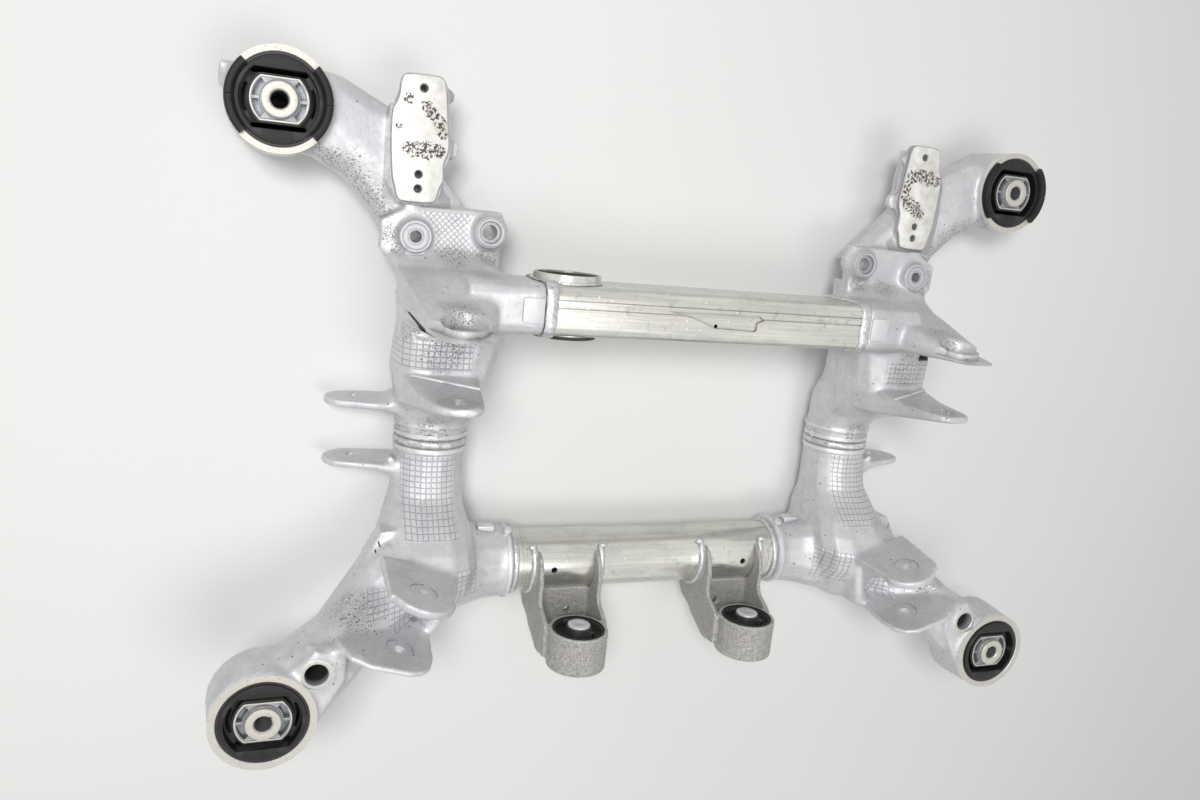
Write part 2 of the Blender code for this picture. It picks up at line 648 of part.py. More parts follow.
def bracket_pair(parts, tools, material):
    add = new_collection("bracket_add")
    cut = new_collection("bracket_cut")
    low = BUSH.y - BUSH_LENGTH
    centre = Vector((BUSH.x, 0, BUSH.z))
    barrel = cylinder("barrel", centre, Y, low, BUSH.y, BARREL_R, tools, 24)
    side = [(131, -134), (124, -119), (112, -112), (97, -108), (74, -109), (64, -103), (58, -88), (51, -76)]
    side += [(10, -74), (7, -86), (15, -106), (26, -150), (36, -184), (56, -201), (72, -200), (90, -176), (118, -146)]
    for i, x in enumerate((78.5, 159.0)):
        prism(f"flange_{i}", side, Vector((x, 0, 0)), Y, Z, 0, BRACKET_WALL, add)
    web = [(82, -144), (82, -152), (22, -156), (4, -112), (4, -96), (26, -98), (30, -142)]
    prism("web", web, Vector((80, 0, 0)), Y, Z, 0, 84, add)
    for i, (x, first, last) in enumerate(((168.5, 52, 205), (75, 57, 205))):
        path = []
        for turn in range(first, last + 1, 21):
            angle = math.radians(turn)
            reach = ROUND_TUBE_END_R + 1.6
            path.append((x, ROUND_TUBE_Y + reach * math.cos(angle), ROUND_TUBE_Z + reach * math.sin(angle)))
        loops = []
        for point in path:
            out = (Vector(point) - Vector((x, ROUND_TUBE_Y, ROUND_TUBE_Z))).normalized()
            loops.append(ring_points(Vector(point), X, out, (4.2, 2.8), 2, 6))
        loft(f"bead_{i}", loops, add)
    axis = Vector((0, ROUND_TUBE_Y, ROUND_TUBE_Z))
    cylinder("tube_seat", axis, X, 40, 210, ROUND_TUBE_END_R + GAP, cut, 24)
    cylinder("bush_bore", centre, Y, low - 10, BUSH.y + 60, BUSH_R + 1.8, cut, 24)
    cylinder("web_hole", Vector((112.4, 41, 0)), Z, -170, -130, 4.5, cut, 12)
    for group in (add, cut):
        bpy.context.scene.collection.children.unlink(group)
        tools.children.link(group)
    boolean(barrel, "UNION", add)
    boolean(barrel, "DIFFERENCE", cut)
    for name, mirrored in (("right", False), ("left", True)):
        made = finish_mesh(barrel, f"diff_bracket_{name}", parts, mirrored, 5)
        made.data.materials.clear()
        made.data.materials.append(material)


def bushes(parts, steel, rubber, core):
    low = BUSH.y - BUSH_LENGTH
    for side, name in ((1, "right"), (-1, "left")):
        base = (side * BUSH.x, low, BUSH.z)
        tall = BUSH_LENGTH
        sleeve = ((BUSH_R + 1.5, tall + 0.5), (BUSH_R + 1.5, 0.5), (BUSH_R + 0.3, 0.5), (BUSH_R + 0.3, tall + 0.5))
        made = turned(f"bush_sleeve_{name}", sleeve, base, Y, parts, 24)
        made.data.materials.append(steel)
        body = ((BUSH_R, tall - 1), (BUSH_R, 2), (25, 5), (17.3, 2), (17.3, tall - 1), (22, tall - 2.5), (27, tall - 2.5))
        made = turned(f"bush_rubber_{name}", body, base, Y, parts, 24)
        made.data.materials.append(rubber)
        middle = (
            (0, tall + 1.5),
            (15.5, tall + 1.5),
            (17, tall),
            (17, 0),
            (15.5, -1.5),
            (6.3, -1.5),
            (6.3, tall - 12),
            (0, tall - 9),
        )
        made = turned(f"bush_core_{name}", middle, base, Y, parts, 24)
        made.data.materials.append(core)


def flat_disc(radius, half, count=5):
    """A disc cut flat where its Y is plus or minus half."""
    turn = math.degrees(math.asin(half / radius))
    return arc((0, 0), radius, -turn, turn, count) + arc((0, 0), radius, 180 - turn, 180 + turn, count)


def moved(outline, centre):
    return [(x + centre[0], y + centre[1]) for x, y in outline]


def mount(name, centre, eye_span, core_span, ears, parts, tools, steel, rubber, core):
    """Sleeve, rubber with a recess and two deep slots, and core of one mount."""
    face = eye_span[1] - 1
    low = eye_span[0] + 2
    ring = MOUNT_BORE_R - GAP
    inner = ring - SLEEVE_WALL
    height = face - low
    sleeve = ((ring, height), (ring, 0), (inner, 0), (inner, height))
    made = turned(f"{name}_sleeve", sleeve, (*centre, low), Z, parts, 24)
    made.data.materials.append(steel)

    flat = Vector((0, 0, 0))
    middle = Vector((*centre, 0))
    top = face + 2.5
    body = cylinder(f"{name}_rubber_body", middle, Z, low - 5, top, inner - GAP, tools, 24)
    add = new_collection(f"{name}_rubber_add")
    cut = new_collection(f"{name}_rubber_cut")
    if ears:
        for i, turn in enumerate((0, 180)):
            outline = arc(centre, REAR_EYE_R - 0.6, turn - 42, turn + 42, 7)
            outline += arc(centre, MOUNT_BORE_R - EAR_DEPTH, turn + 48, turn - 48, 7)
            prism(f"{name}_ear_{i}", outline, flat, X, Y, eye_span[1] + GAP, REAR_FACE_Z, add)
    prism(f"{name}_recess", moved(flat_disc(VOID_R, STOP_Y), centre), flat, X, Y, top - VOID_DEPTH, top + 20, cut)
    for i, sign in enumerate((1, -1)):
        slot = [(-SLOT_X, SLOT_Y), (SLOT_X, SLOT_Y), (SLOT_X - 1, STOP_Y), (1 - SLOT_X, STOP_Y)]
        slot = [(sign * x, sign * y) for x, y in slot]
        prism(f"{name}_slot_{i}", moved(slot, centre), flat, X, Y, low + SLOT_FLOOR, top + 20, cut)
    pocket = moved(flat_disc(CORE_X + GAP, CORE_Y + GAP), centre)
    prism(f"{name}_pocket", pocket, flat, X, Y, low - 20, top + 20, cut)
    joined(f"{name}_rubber", body, add, cut, parts, tools, rubber)

    bottom, up = core_span
    lobes = prism(f"{name}_core_block", moved(flat_disc(CORE_X, CORE_Y), centre), flat, X, Y, low - 4, up - 6, tools)
    add = new_collection(f"{name}_core_add")
    cut = new_collection(f"{name}_core_cut")
    cylinder(f"{name}_core_sleeve", middle, Z, bottom, up, CORE_SLEEVE_R, add, 16)
    cylinder(f"{name}_core_hole", middle, Z, bottom - 20, up + 20, CORE_HOLE_R, cut, 16)
    joined(f"{name}_core", lobes, add, cut, parts, tools, core)


def main():
    clear_scene()
    bpy.context.scene.unit_settings.scale_length = 1.0
    parts = new_collection("rear_subframe")
    tools = new_collection("construction")
    tools.hide_render = True

    cast = new_material("cast_aluminium", (0.56, 0.56, 0.59), 0.6, 0.55)
    tube = new_material("tube_aluminium", (0.72, 0.73, 0.73), 0.9, 0.3)
    weld = new_material("weld_aluminium", (0.62, 0.62, 0.63), 0.8, 0.4)
    dark_cast = new_material("bracket_aluminium", (0.42, 0.42, 0.43), 0.5, 0.7)
    rubber = new_material("rubber_black", (0.012, 0.012, 0.013), 0.0, 0.7)
    steel = new_material("sleeve_steel", (0.1, 0.1, 0.1), 0.8, 0.5)
    core = new_material("core_aluminium", (0.5, 0.5, 0.5), 0.9, 0.35)

    cast_pair("rear_node", rear_node_solids, rear_node_cuts, collar_relief, parts, tools, cast)
    cast_pair("front_node", front_node_solids, front_node_cuts, None, parts, tools, cast)
    box_tube(parts, tools, tube)
    collar(parts, tube)
    box_welds(parts, tools, weld)
    round_tube(parts, tools, tube)
    bracket_pair(parts, tools, dark_cast)
    bushes(parts, steel, rubber, core)
    for side, end in ((1, "right"), (-1, "left")):
        rear = (side * REAR_MOUNT[0], REAR_MOUNT[1])
        front = (side * FRONT_MOUNT[0], FRONT_MOUNT[1])
        mount(f"rear_mount_{end}", rear, REAR_EYE_Z, REAR_CORE_Z, True, parts, tools, steel, rubber, core)
        mount(f"front_mount_{end}", front, FRONT_EYE_Z, FRONT_CORE_Z, False, parts, tools, steel, rubber, core)

    for helper in tools.all_objects:
        helper.hide_render = True
        helper.display_type = "WIRE"
    tools.hide_viewport = False


main()
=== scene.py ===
"""Rear axle subframe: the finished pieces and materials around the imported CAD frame.

Places and sizes are in the drawing's millimetres: x to the photograph's right, y up it and z
towards the camera. The function at() turns a place into the frame's metres.
"""

import math

import bmesh
import bpy
import numpy as np
from mathutils import Matrix, Vector


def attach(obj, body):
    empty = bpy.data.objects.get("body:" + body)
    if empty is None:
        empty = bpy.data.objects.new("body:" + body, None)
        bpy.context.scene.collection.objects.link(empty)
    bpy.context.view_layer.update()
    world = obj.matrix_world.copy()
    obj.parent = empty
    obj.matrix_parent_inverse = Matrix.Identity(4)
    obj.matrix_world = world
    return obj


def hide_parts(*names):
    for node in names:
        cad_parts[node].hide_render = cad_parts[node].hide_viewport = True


bl_info = {
    "name": "Rear axle subframe",
    "version": (1, 0, 0),
    "blender": (4, 5, 0),
    "location": "View3D > Sidebar > Subframe",
    "description": "Builds the castings, tubes, welds, mounts and stage of a rear axle subframe",
    "category": "Object",
}

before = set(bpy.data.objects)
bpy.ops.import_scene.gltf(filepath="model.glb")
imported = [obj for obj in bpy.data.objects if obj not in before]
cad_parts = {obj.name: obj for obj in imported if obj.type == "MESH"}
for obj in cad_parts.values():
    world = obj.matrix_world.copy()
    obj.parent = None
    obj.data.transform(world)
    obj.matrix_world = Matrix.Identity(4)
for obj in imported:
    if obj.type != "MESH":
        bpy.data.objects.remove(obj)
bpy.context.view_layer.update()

MM = 0.001
GROUND = 240.0
MIDDLE_Y = 326.0
ORIGIN = Vector((0, 0, 0))
X = Vector((1, 0, 0))
Y = Vector((0, 1, 0))
Z = Vector((0, 0, 1))
SIDES = ((1, "right"), (-1, "left"))

# Four large mounts: places of the right-hand ones, heights of their parts, radii.
REAR_MOUNT = (497.0, 655.0)
REAR_EYE_Z = (-206.0, -122.0)
REAR_CORE_Z = (-240.0, -115.0)
REAR_EAR_Z = (-121.7, -114.0)
FRONT_MOUNT = (500.0, 0.0)
FRONT_EYE_Z = (-66.0, -2.0)
FRONT_CORE_Z = (-96.0, 2.0)
MOUNT_BORE_R = 48.4
SLEEVE_WALL = 2.4
CORE_X = 30.0
CORE_Y = 23.0
CORE_SLEEVE_R = 18.6
CORE_HOLE_R = 9.3

# Tubes, and the necks where the front castings sit in the rear ones.
BOX_TUBE_Y = 460.5
BOX_TUBE_Z = -75.0
BOX_TUBE_HALF = (29.5, 50.5)
BOX_TUBE_CORNER = 13.0
BOX_TUBE_WALL = 4.0
BOX_TUBE_X = 215.2
BOX_GROOVES = (472.5, 463.5)
BOX_DENT = ((-66, 468), (-34, 461), (-4, 450.5), (50, 448.5), (53, 451), (53, 459))
BOX_DENT += ((62, 463), (56, 468))
COLLAR_X = 178.0
COLLAR_Z = -73.0
COLLAR_R = 39.5
COLLAR_WALL = 3.0
COLLAR_Y = (426.5, 500.0)
ROUND_TUBE = (0, 107.0, -168.0)
ROUND_TUBE_R = 40.0
ROUND_TUBE_END_R = 41.2
ROUND_TUBE_WALL = 4.0
ROUND_TUBE_X = 196.7
NECK_X = 305.0
NECK_Z = -184.0

# Rear castings. BOSS_HOLES are the holes' radii.
BOSSES = ((348.0, 525.0), (262.0, 536.5))
BOSS_Z = -115.0
BOSS_HOLES = (7.0, 9.0)
PAD_HOLES = ((345.0, 688.0), (346.0, 594.0), (346.0, 578.0))
PAD_Z = -133.5
PAD = ((330, 703.5), (324, 701.5), (320.5, 696), (318, 680), (315, 644), (312.5, 630), (314, 618))
PAD += ((317.5, 611), (318, 600), (317, 589), (321, 582), (323, 574), (324, 568), (329, 562.5))
PAD += ((364, 562), (369.5, 566), (372, 577), (376, 590), (379, 628), (379, 660), (375, 669))
PAD += ((371.5, 677), (370.5, 695), (366, 702.5))
PAD_LAND = ((320, 712), (378, 712), (381, 678), (386, 664), (387, 628), (384, 588), (379, 572))
PAD_LAND += ((370, 559), (324, 559), (306, 578), (302, 712))
PANEL = ((219, 446), (240, 446), (241.5, 447.5), (241.5, 472.5), (240, 474), (219, 474))
PANEL += ((217.5, 472.5), (217.5, 447.5))
RIDGE = ((352, 374.5, -65), (318, 371.5, -47.4), (282, 367.5, -33.6))
CREASE = ((-361, 448), (-352, 438), (-341, 428.6), (-326, 420.8), (-308, 417.6))
CREASE += ((-308, 416.6), (-327, 418.2), (-343.4, 424.8), (-354.2, 435), (-362, 447))
WINDOW_FILL = ((324, -61), (357, -75), (357, -106), (324, -106))
WINDOW = ((331, -40), (352, -40), (352, -104), (331, -104))
EAR_BOLT = (316.0, 27.0)
SEAT_Y = 437.0
SEAT_TILT = math.radians(7)
SEAT_UP = Vector((0, math.cos(SEAT_TILT), math.sin(SEAT_TILT)))
MILLED = ((-22, 6), (-44, -18), (-44, 80), (44, 80), (44, -18), (22, 6))
OUTER_BOLT = (399, 0, -214)
BOLT_HOLE_R = 6.5

# Front castings.
SMALL_HOLE = (446.0, 49.0)
SMALL_HOLE_R = 12.8
BOLT_PLANE = Vector((-0.27, 0.95, 0.14)).normalized()
EAR_UP = Vector((333.0, 136.0, -16.0))
EAR_DOWN = Vector((354.0, 63.0, -27.0))
WEB = ((454, 73, -24), (434, 72.5, -19), (417, 71.5, -10), (400, 69.5, 2))
LUG = ((219, 145), (241, 145), (241, 159), (219, 159))
ARM_SLOTS = ((372, 157), (375.5, 147))

# Differential bushes.
BUSH = Vector((122.0, 52.0, -67.0))
BUSH_LENGTH = 50.0
BUSH_R = 31.8

# Sizes of the small quads that castings, brackets and beads are remeshed with.
CAST_SKIN = 2.0
BRACKET_SKIN = 1.4
BEAD_SKIN = 0.9


def at(x, y, z):
    """A point given in the drawing's millimetres, in the frame's metres."""
    return Vector((x * MM, (y - MIDDLE_Y) * MM, (z + GROUND) * MM))


# ---------------------------------------------------------------- patterns

SMOOTH = {"interpolation_type": "SMOOTHSTEP"}


def linear(hex_colour):
    """An sRGB hex colour as linear red, green, blue and alpha."""
    values = []
    for i in (0, 2, 4):
        share = int(hex_colour[i : i + 2], 16) / 255
        values.append(share / 12.92 if share <= 0.04045 else ((share + 0.055) / 1.055) ** 2.4)
    return (*values, 1.0)


def add_node(tree, kind, *inputs, output=0, **settings):
    """Adds a node and returns an output. Inputs are values, sockets to link, or None to skip."""
    made = tree.nodes.new("ShaderNode" + kind)
    for key, value in settings.items():
        setattr(made, key, value)
    for socket, value in zip(made.inputs, inputs):
        if isinstance(value, bpy.types.NodeSocket):
            tree.links.new(value, socket)
        elif value is not None:
            socket.default_value = value
    return made.outputs[output]


def layer(tree, colour, share, amount, tint):
    """Lays a tint over a colour, in an amount of a share that a pattern gives."""
    tint = linear(tint) if isinstance(tint, str) else tint
    part = weigh(tree, (share, amount))
    return add_node(tree, "Mix", part, *[None] * 5, colour, tint, output=2, data_type="RGBA")


def weigh(tree, *parts):
    """The sum of some patterns, each times its weight, which may be a pattern too."""
    total = 0.0
    for pattern, weight in parts:
        total = add_node(tree, "Math", pattern, weight, total, operation="MULTIPLY_ADD")
    return total


def spots(tree, where, size, low, high, seed):
    """Sparse round spots of a size in millimetres: 1 in a spot and 0 outside."""
    moved = add_node(tree, "VectorMath", where, (seed, seed * 0.7, seed * 1.3), operation="ADD")
    cells = add_node(tree, "TexVoronoi", moved, None, 1 / (size * MM))
    return add_node(tree, "MapRange", cells, low, high, 1.0, 0.0)


def grain(tree, where, size, detail=3.0, rough=0.55, low=0.3, high=0.7):
    """Noise with grains of a size in millimetres, stretched to run from 0 to 1."""
    noise = add_node(tree, "TexNoise", where, None, 1 / (size * MM), detail, rough)
    return add_node(tree, "MapRange", noise, low, high)


def folded(tree, where):
    """Object coordinates with the left side laid on the right one."""
    x, y, z = add_node(tree, "SeparateXYZ", where).node.outputs
    side = add_node(tree, "Math", x, operation="ABSOLUTE")
    return add_node(tree, "CombineXYZ", side, y, z)


def patch(tree, where, low, high, soft=2.0):
    """1 inside a box between two corners, fading over its edge."""
    first, last = at(*low), at(*high)
    away = add_node(tree, "VectorMath", where, (first + last) / 2, operation="SUBTRACT")
    away = add_node(tree, "VectorMath", away, operation="ABSOLUTE")
    away = add_node(tree, "VectorMath", away, (last - first) / 2, operation="SUBTRACT")
    x, y, z = add_node(tree, "SeparateXYZ", away).node.outputs
    far = add_node(tree, "Math", x, y, operation="MAXIMUM")
    far = add_node(tree, "Math", far, z, operation="MAXIMUM")
    return add_node(tree, "MapRange", far, 0.0, soft * MM, 1.0, 0.0, **SMOOTH)


def blots(tree, where, places):
    """1 near each of some points, given as x, y, z and the radius where it has faded out."""
    total = 0.0
    for x, y, z, radius in places:
        away = add_node(tree, "VectorMath", where, at(x, y, z), output=1, operation="DISTANCE")
        near = add_node(tree, "MapRange", away, radius * 0.45 * MM, radius * MM, 1.0, 0.0, **SMOOTH)
        total = add_node(tree, "Math", total, near, operation="MAXIMUM")
    return total


def shaft(tree, where, centre, across, radius, soft):
    """1 within a radius of an axis through centre. across is 0 along the axis and 1 across it."""
    hub = Vector([place * keep for place, keep in zip(at(*centre), across)])
    flat = add_node(tree, "VectorMath", where, across, operation="MULTIPLY")
    away = add_node(tree, "VectorMath", flat, hub, output=1, operation="DISTANCE")
    return add_node(tree, "MapRange", away, radius * MM, (radius + soft) * MM, 1.0, 0.0, **SMOOTH)


def painted_hollow_shade(tree, reach, low, high):
    """1 where painted shade goes: corners and grooves closed in within a reach in millimetres."""
    seen = add_node(
        tree, "AmbientOcclusion", None, reach * MM, output=1, samples=6, only_local=True
    )
    return add_node(tree, "MapRange", seen, low, high, 1.0, 0.0, **SMOOTH)


def edge_wear_and_sheen(tree):
    """1 on sharp edges, painted lighter: rubbed by hands and weather, and painted highlight."""
    edge = add_node(tree, "NewGeometry", output="Pointiness")
    return add_node(tree, "MapRange", edge, 0.515, 0.57, **SMOOTH)


# ---------------------------------------------------------------- materials
# Each function below is one material, but for waffle_nets. It gives the colour, the height of
# the relief, the depth of that relief in millimetres, and the roughness where a pattern changes it.

# Where dirt and dark flecks lie thick on the castings: x, y, z and radius.
DRIFTS = (
    (462, 608, -140, 26),
    (441, 600, -141, 26),
    (422, 592, -141, 24),
    (406, 578, -141, 24),
    (394, 563, -143, 24),
    (384, 551, -140, 22),
    (374, 524, -127, 20),
    (364, 508, -124, 18),
    (318, 404, -62, 40),
    (352, 424, -80, 24),
    (310, 290, -138, 34),
    (345, 285, -165, 30),
    (302, 498, -124, 32),
    (262, 510, -124, 24),
    (316, 455, -2, 32),
    (306, 436, 60, 20),
    (404, 92, -60, 46),
    (425, 60, -30, 34),
)

# Moulded waffle fields: lowest corner, highest corner and whether the net stands on its point.
WAFFLES = (
    ((-338, 508, -135), (-272, 554, -119), True),
    ((286, 383, -125), (366, 414, -40), False),
    ((280, 166, -175), (343, 256, -85), False),
    ((250, 84, -125), (284, 132, -60), False),
    ((364, 86, -82), (388, 116, -50), False),
    ((318, 68, -105), (360, 100, -56), False),
)


def waffle_nets(tree, where, side, look):
    """The squares and the grooves of the moulded nets. Each is 1 there and 0 elsewhere."""
    across, along, _ = add_node(tree, "SeparateXYZ", side).node.outputs
    slants = [add_node(tree, "Math", across, along, operation=sign) for sign in ("ADD", "SUBTRACT")]
    squares = {}
    for slanted, axes, pitch in (
        (False, (across, along), look.waffle_pitch),
        (True, slants, look.net_pitch * math.sqrt(2)),
    ):
        raised = []
        for axis in axes:
            turn = weigh(tree, (axis, 2 * math.pi / pitch))
            wave = add_node(tree, "Math", turn, operation="SINE")
            raised.append(add_node(tree, "MapRange", wave, -0.99, -0.72, **SMOOTH))
        squares[slanted] = weigh(tree, raised)
    away = []
    for x, y in BOSSES:
        boss = at(x, y, -124)
        away.append(add_node(tree, "VectorMath", side, boss, output=1, operation="DISTANCE"))
    nearest = add_node(tree, "Math", *away, operation="MINIMUM")
    clear = add_node(tree, "MapRange", nearest, 24 * MM, 26 * MM, **SMOOTH)
    waffle = grooves = 0.0
    for low, high, slanted in WAFFLES:
        inside = patch(tree, where if slanted else side, low, high)
        if slanted:
            inside = weigh(tree, (inside, clear))
        up = weigh(tree, (inside, squares[slanted]))
        down = add_node(tree, "Math", inside, up, operation="SUBTRACT", use_clamp=True)
        waffle = add_node(tree, "Math", waffle, up, operation="MAXIMUM")
        grooves = add_node(tree, "Math", grooves, down, operation="MAXIMUM")
    return waffle, grooves


def cast_aluminium(tree, where, look):
    """Die-cast aluminium, as cast and weathered: dull and finely pebbled, with dark flecks in
    drifts, painted shade in its corners and round the pad, edges lightened by wear and painted
    highlight, and moulded waffle nets with painted light and shade."""
    side = folded(tree, where)
    cloud = grain(tree, where, 9, 5, 0.65)
    fine = grain(tree, where, 1.3, 3, 0.6)
    colour = layer(tree, look.cast_dark, grain(tree, where, 60, 4, 0.6), 1.0, look.cast_light)
    colour = layer(tree, colour, cloud, 0.3, "98979A")
    colour = layer(tree, colour, fine, 0.3, "DEDEDF")

    # Flecks of 1 to 3 mm, thick where salt water ran and thin elsewhere.
    thick = blots(tree, side, DRIFTS)
    thin = weigh(tree, (grain(tree, where, 42, 3, 0.6, 0.4, 0.65), 0.75))
    drift = add_node(tree, "Math", thick, thin, operation="MAXIMUM")
    speck = add_node(tree, "TexNoise", where, None, 1 / (2.1 * MM), 5.0, 0.7)
    flecks = weigh(tree, (speck, 1.0), (drift, 0.185))
    flecks = add_node(tree, "MapRange", flecks, 0.735, 0.77, **SMOOTH)
    colour = layer(tree, colour, thick, 0.2, "8F8D8E")
    colour = layer(tree, colour, flecks, 0.72, "504D4C")
    colour = layer(tree, colour, spots(tree, where, 16, 0.05, 0.09, 0.2), 0.85, "2E2C2D")

    # Painted shade in corners and grooves.
    colour = layer(tree, colour, painted_hollow_shade(tree, 7, 0.45, 0.9), 0.6, "6F6D6D")
    # Sharp edges lightened: wear, and painted highlight.
    colour = layer(tree, colour, edge_wear_and_sheen(tree), 0.5, "EFEFF0")
    # Painted shade: a grey band round the pad's sides and the land below it, outlining its step.
    rim = patch(tree, side, (308, 558, PAD_Z - 6), (384, 708, PAD_Z + 3))
    colour = layer(tree, colour, rim, 0.6, "8D8C8F")
    worn = blots(tree, side, [(x, y, BOSS_Z, 27) for x, y in BOSSES])
    colour = layer(tree, colour, worn, 0.55, "A3A3A7")

    # Painted shade deep in the small hole, and the dull seat of the lower ear.
    height = add_node(tree, "SeparateXYZ", where).node.outputs[2]
    low, high = at(0, 0, -22).z, at(0, 0, -9).z
    deep = add_node(tree, "MapRange", height, low, high, 1.0, 0.0, **SMOOTH)
    hole = shaft(tree, side, (*SMALL_HOLE, 0), (1.0, 1.0, 0.0), 13.2, 0.4)
    colour = layer(tree, colour, weigh(tree, (deep, hole)), 0.9, "2B2927")
    seat = add_node(tree, "VectorMath", side, at(317, 365, 26), output=1, operation="DISTANCE")
    seat = add_node(tree, "MapRange", seat, 21 * MM, 22.5 * MM, 1.0, 0.0, **SMOOTH)
    colour = layer(tree, colour, seat, 0.35, "98979A")

    waffle, grooves = waffle_nets(tree, where, side, look)
    # Painted highlight on the raised squares and painted shade in the grooves of the nets.
    colour = layer(tree, colour, waffle, 0.25, "E6E6E8")
    colour = layer(tree, colour, grooves, 0.4, "85848A")

    lumps = grain(tree, where, 4.5, 3, 0.6)
    rough_wall = patch(tree, side, (294, 440, -16), (338, 468, -2), 3)
    sand = weigh(tree, (grain(tree, where, 2.2, 4, 0.65), rough_wall))
    relief = weigh(tree, (fine, 0.24), (sand, 1.6), (lumps, 0.25), (flecks, -0.5), (waffle, 0.9))
    return colour, relief, 0.5, add_node(tree, "MapRange", cloud, None, None, 0.33, 0.52)


# Where corrosion has eaten the faces of the bolted pads: x, y, z and radius.
PAD_RUST = (
    (-341, 669, -133, 11),
    (-334, 662, -133, 12),
    (-326, 654, -133, 13),
    (-321, 641, -133, 10),
    (-352, 622, -133, 16),
    (-338, 621, -133, 17),
    (-325, 622, -133, 14),
    (-360, 622, -133, 12),
    (-362, 675, -133, 11),
    (-371, 645, -133, 7),
    (329, 660, -133, 16),
    (343, 664, -133, 17),
    (357, 661, -133, 17),
    (370, 658, -133, 12),
    (321, 646, -133, 15),
    (320, 634, -133, 14),
    (330, 624, -133, 18),
    (342, 618, -133, 17),
    (351, 611, -133, 12),
)


def pad_corrosion(tree, where, look):
    """The bolted pad's face: milled bright, then eaten by contact corrosion into brown and black
    blotches of 1 to 4 mm where the other part sat."""
    tone = grain(tree, where, 14, 4, 0.6)
    colour = layer(tree, look.machined, tone, 1.0, "F0EFEC")
    noise = add_node(tree, "TexNoise", where, None, 1 / (3.8 * MM), 5.0, 0.72)
    eaten = weigh(tree, (noise, 1.0), (blots(tree, where, PAD_RUST), 0.335))
    halo = add_node(tree, "MapRange", eaten, 0.78, 0.86, **SMOOTH)
    black = add_node(tree, "MapRange", eaten, 0.83, 0.875, **SMOOTH)
    colour = layer(tree, colour, halo, 0.55, "A8948C")
    colour = layer(tree, colour, black, 0.92, "38302E")
    return colour, weigh(tree, (tone, 0.1), (black, -0.7)), 0.6, None


def machined_aluminium(tree, where, look):
    """A face cut by a tool: bright, with fine marks that catch the light, stains and nicks."""
    fine = grain(tree, where, 0.9, 2, 0.5)
    colour = layer(tree, look.machined, grain(tree, where, 12, 4, 0.6), 1.0, "C9C5BC")
    colour = layer(tree, colour, fine, 0.25, "A19E98")
    colour = layer(tree, colour, grain(tree, where, 3.5, 5, 0.7, 0.6, 0.66), 0.6, "7D7972")
    return colour, fine, 0.08, None


def drawn_aluminium(tree, where, look):
    """Extruded aluminium tube: satin, streaked along its length by the drawing die, with scuffs,
    a few salt spots, painted shade in its grooves, and painted shade inside the collar and below
    it."""
    stretched = add_node(tree, "Mapping", where, None, None, (0.03, 1.0, 1.0))
    lines = grain(tree, stretched, 1.8, 4, 0.6)
    stretched = add_node(tree, "Mapping", where, None, None, (0.08, 1.0, 1.0))
    broad = grain(tree, where, 70, 4, 0.6)
    colour = layer(tree, look.tube, broad, 1.0, "D2D1CB")
    colour = layer(tree, colour, grain(tree, stretched, 15, 3, 0.6), 0.5, "AAA9A1")
    colour = layer(tree, colour, lines, 0.3, "8E8E8A")
    colour = layer(tree, colour, grain(tree, where, 16, 6, 0.75, 0.56, 0.68), 0.5, "8F8F8B")
    field = grain(tree, where, 40, 2, 0.5, 0.5, 0.6)
    salt = weigh(tree, (spots(tree, where, 9, 0.08, 0.14, 0.5), field))
    colour = layer(tree, colour, salt, 1.0, "F4F4F0")
    # Painted shade in grooves and corners.
    colour = layer(tree, colour, painted_hollow_shade(tree, 4, 0.5, 0.95), 0.6, "6B6862")

    # Painted shade inside the top of the collar and below the collar's lower end.
    hub = (-COLLAR_X, 0, COLLAR_Z)
    height = add_node(tree, "SeparateXYZ", where).node.outputs[1]
    top = at(0, COLLAR_Y[1], 0).y
    inside = shaft(tree, where, hub, (1.0, 0.0, 1.0), COLLAR_R - COLLAR_WALL + 0.1, 0.3)
    deep = add_node(tree, "MapRange", height, top - 1.5 * MM, top - 3 * MM, **SMOOTH)
    inside = weigh(tree, (inside, deep))
    outside = shaft(tree, where, hub, (1.0, 0.0, 1.0), COLLAR_R + 2, 1)
    low, high = at(0, 430, 0).y, at(0, 431.5, 0).y
    below = add_node(tree, "MapRange", height, low, high, 1.0, 0.0, **SMOOTH)
    outside = weigh(tree, (outside, below))
    collar_shade = add_node(tree, "Math", inside, outside, operation="MAXIMUM")
    collar_shade = weigh(tree, (collar_shade, 0.9))
    colour = layer(tree, colour, collar_shade, 1.0, "33302E")

    rough = add_node(tree, "MapRange", broad, None, None, 0.17, 0.32)
    rough = add_node(tree, "Math", rough, collar_shade, operation="MAXIMUM")
    return colour, weigh(tree, (lines, 0.5), (salt, 0.6)), 0.08, rough


def weld_metal(tree, where, look):
    """Aluminium weld metal: smooth frozen ripples, brighter than what it joins, with dirt, painted
    shade at its foot, and crests lightened by wear and painted highlight."""
    tone = grain(tree, where, 5, 4, 0.6)
    colour = layer(tree, look.weld, tone, 1.0, "B4B4B6")
    colour = layer(tree, colour, grain(tree, where, 2.6, 5, 0.7, 0.52, 0.64), 0.55, "6E6B6A")
    # Painted shade at the foot of the bead.
    colour = layer(tree, colour, painted_hollow_shade(tree, 4, 0.5, 0.9), 0.7, "55524F")
    # Crests lightened: wear, and painted highlight.
    colour = layer(tree, colour, edge_wear_and_sheen(tree), 0.5, "F0F0F0")
    return colour, tone, 0.15, None


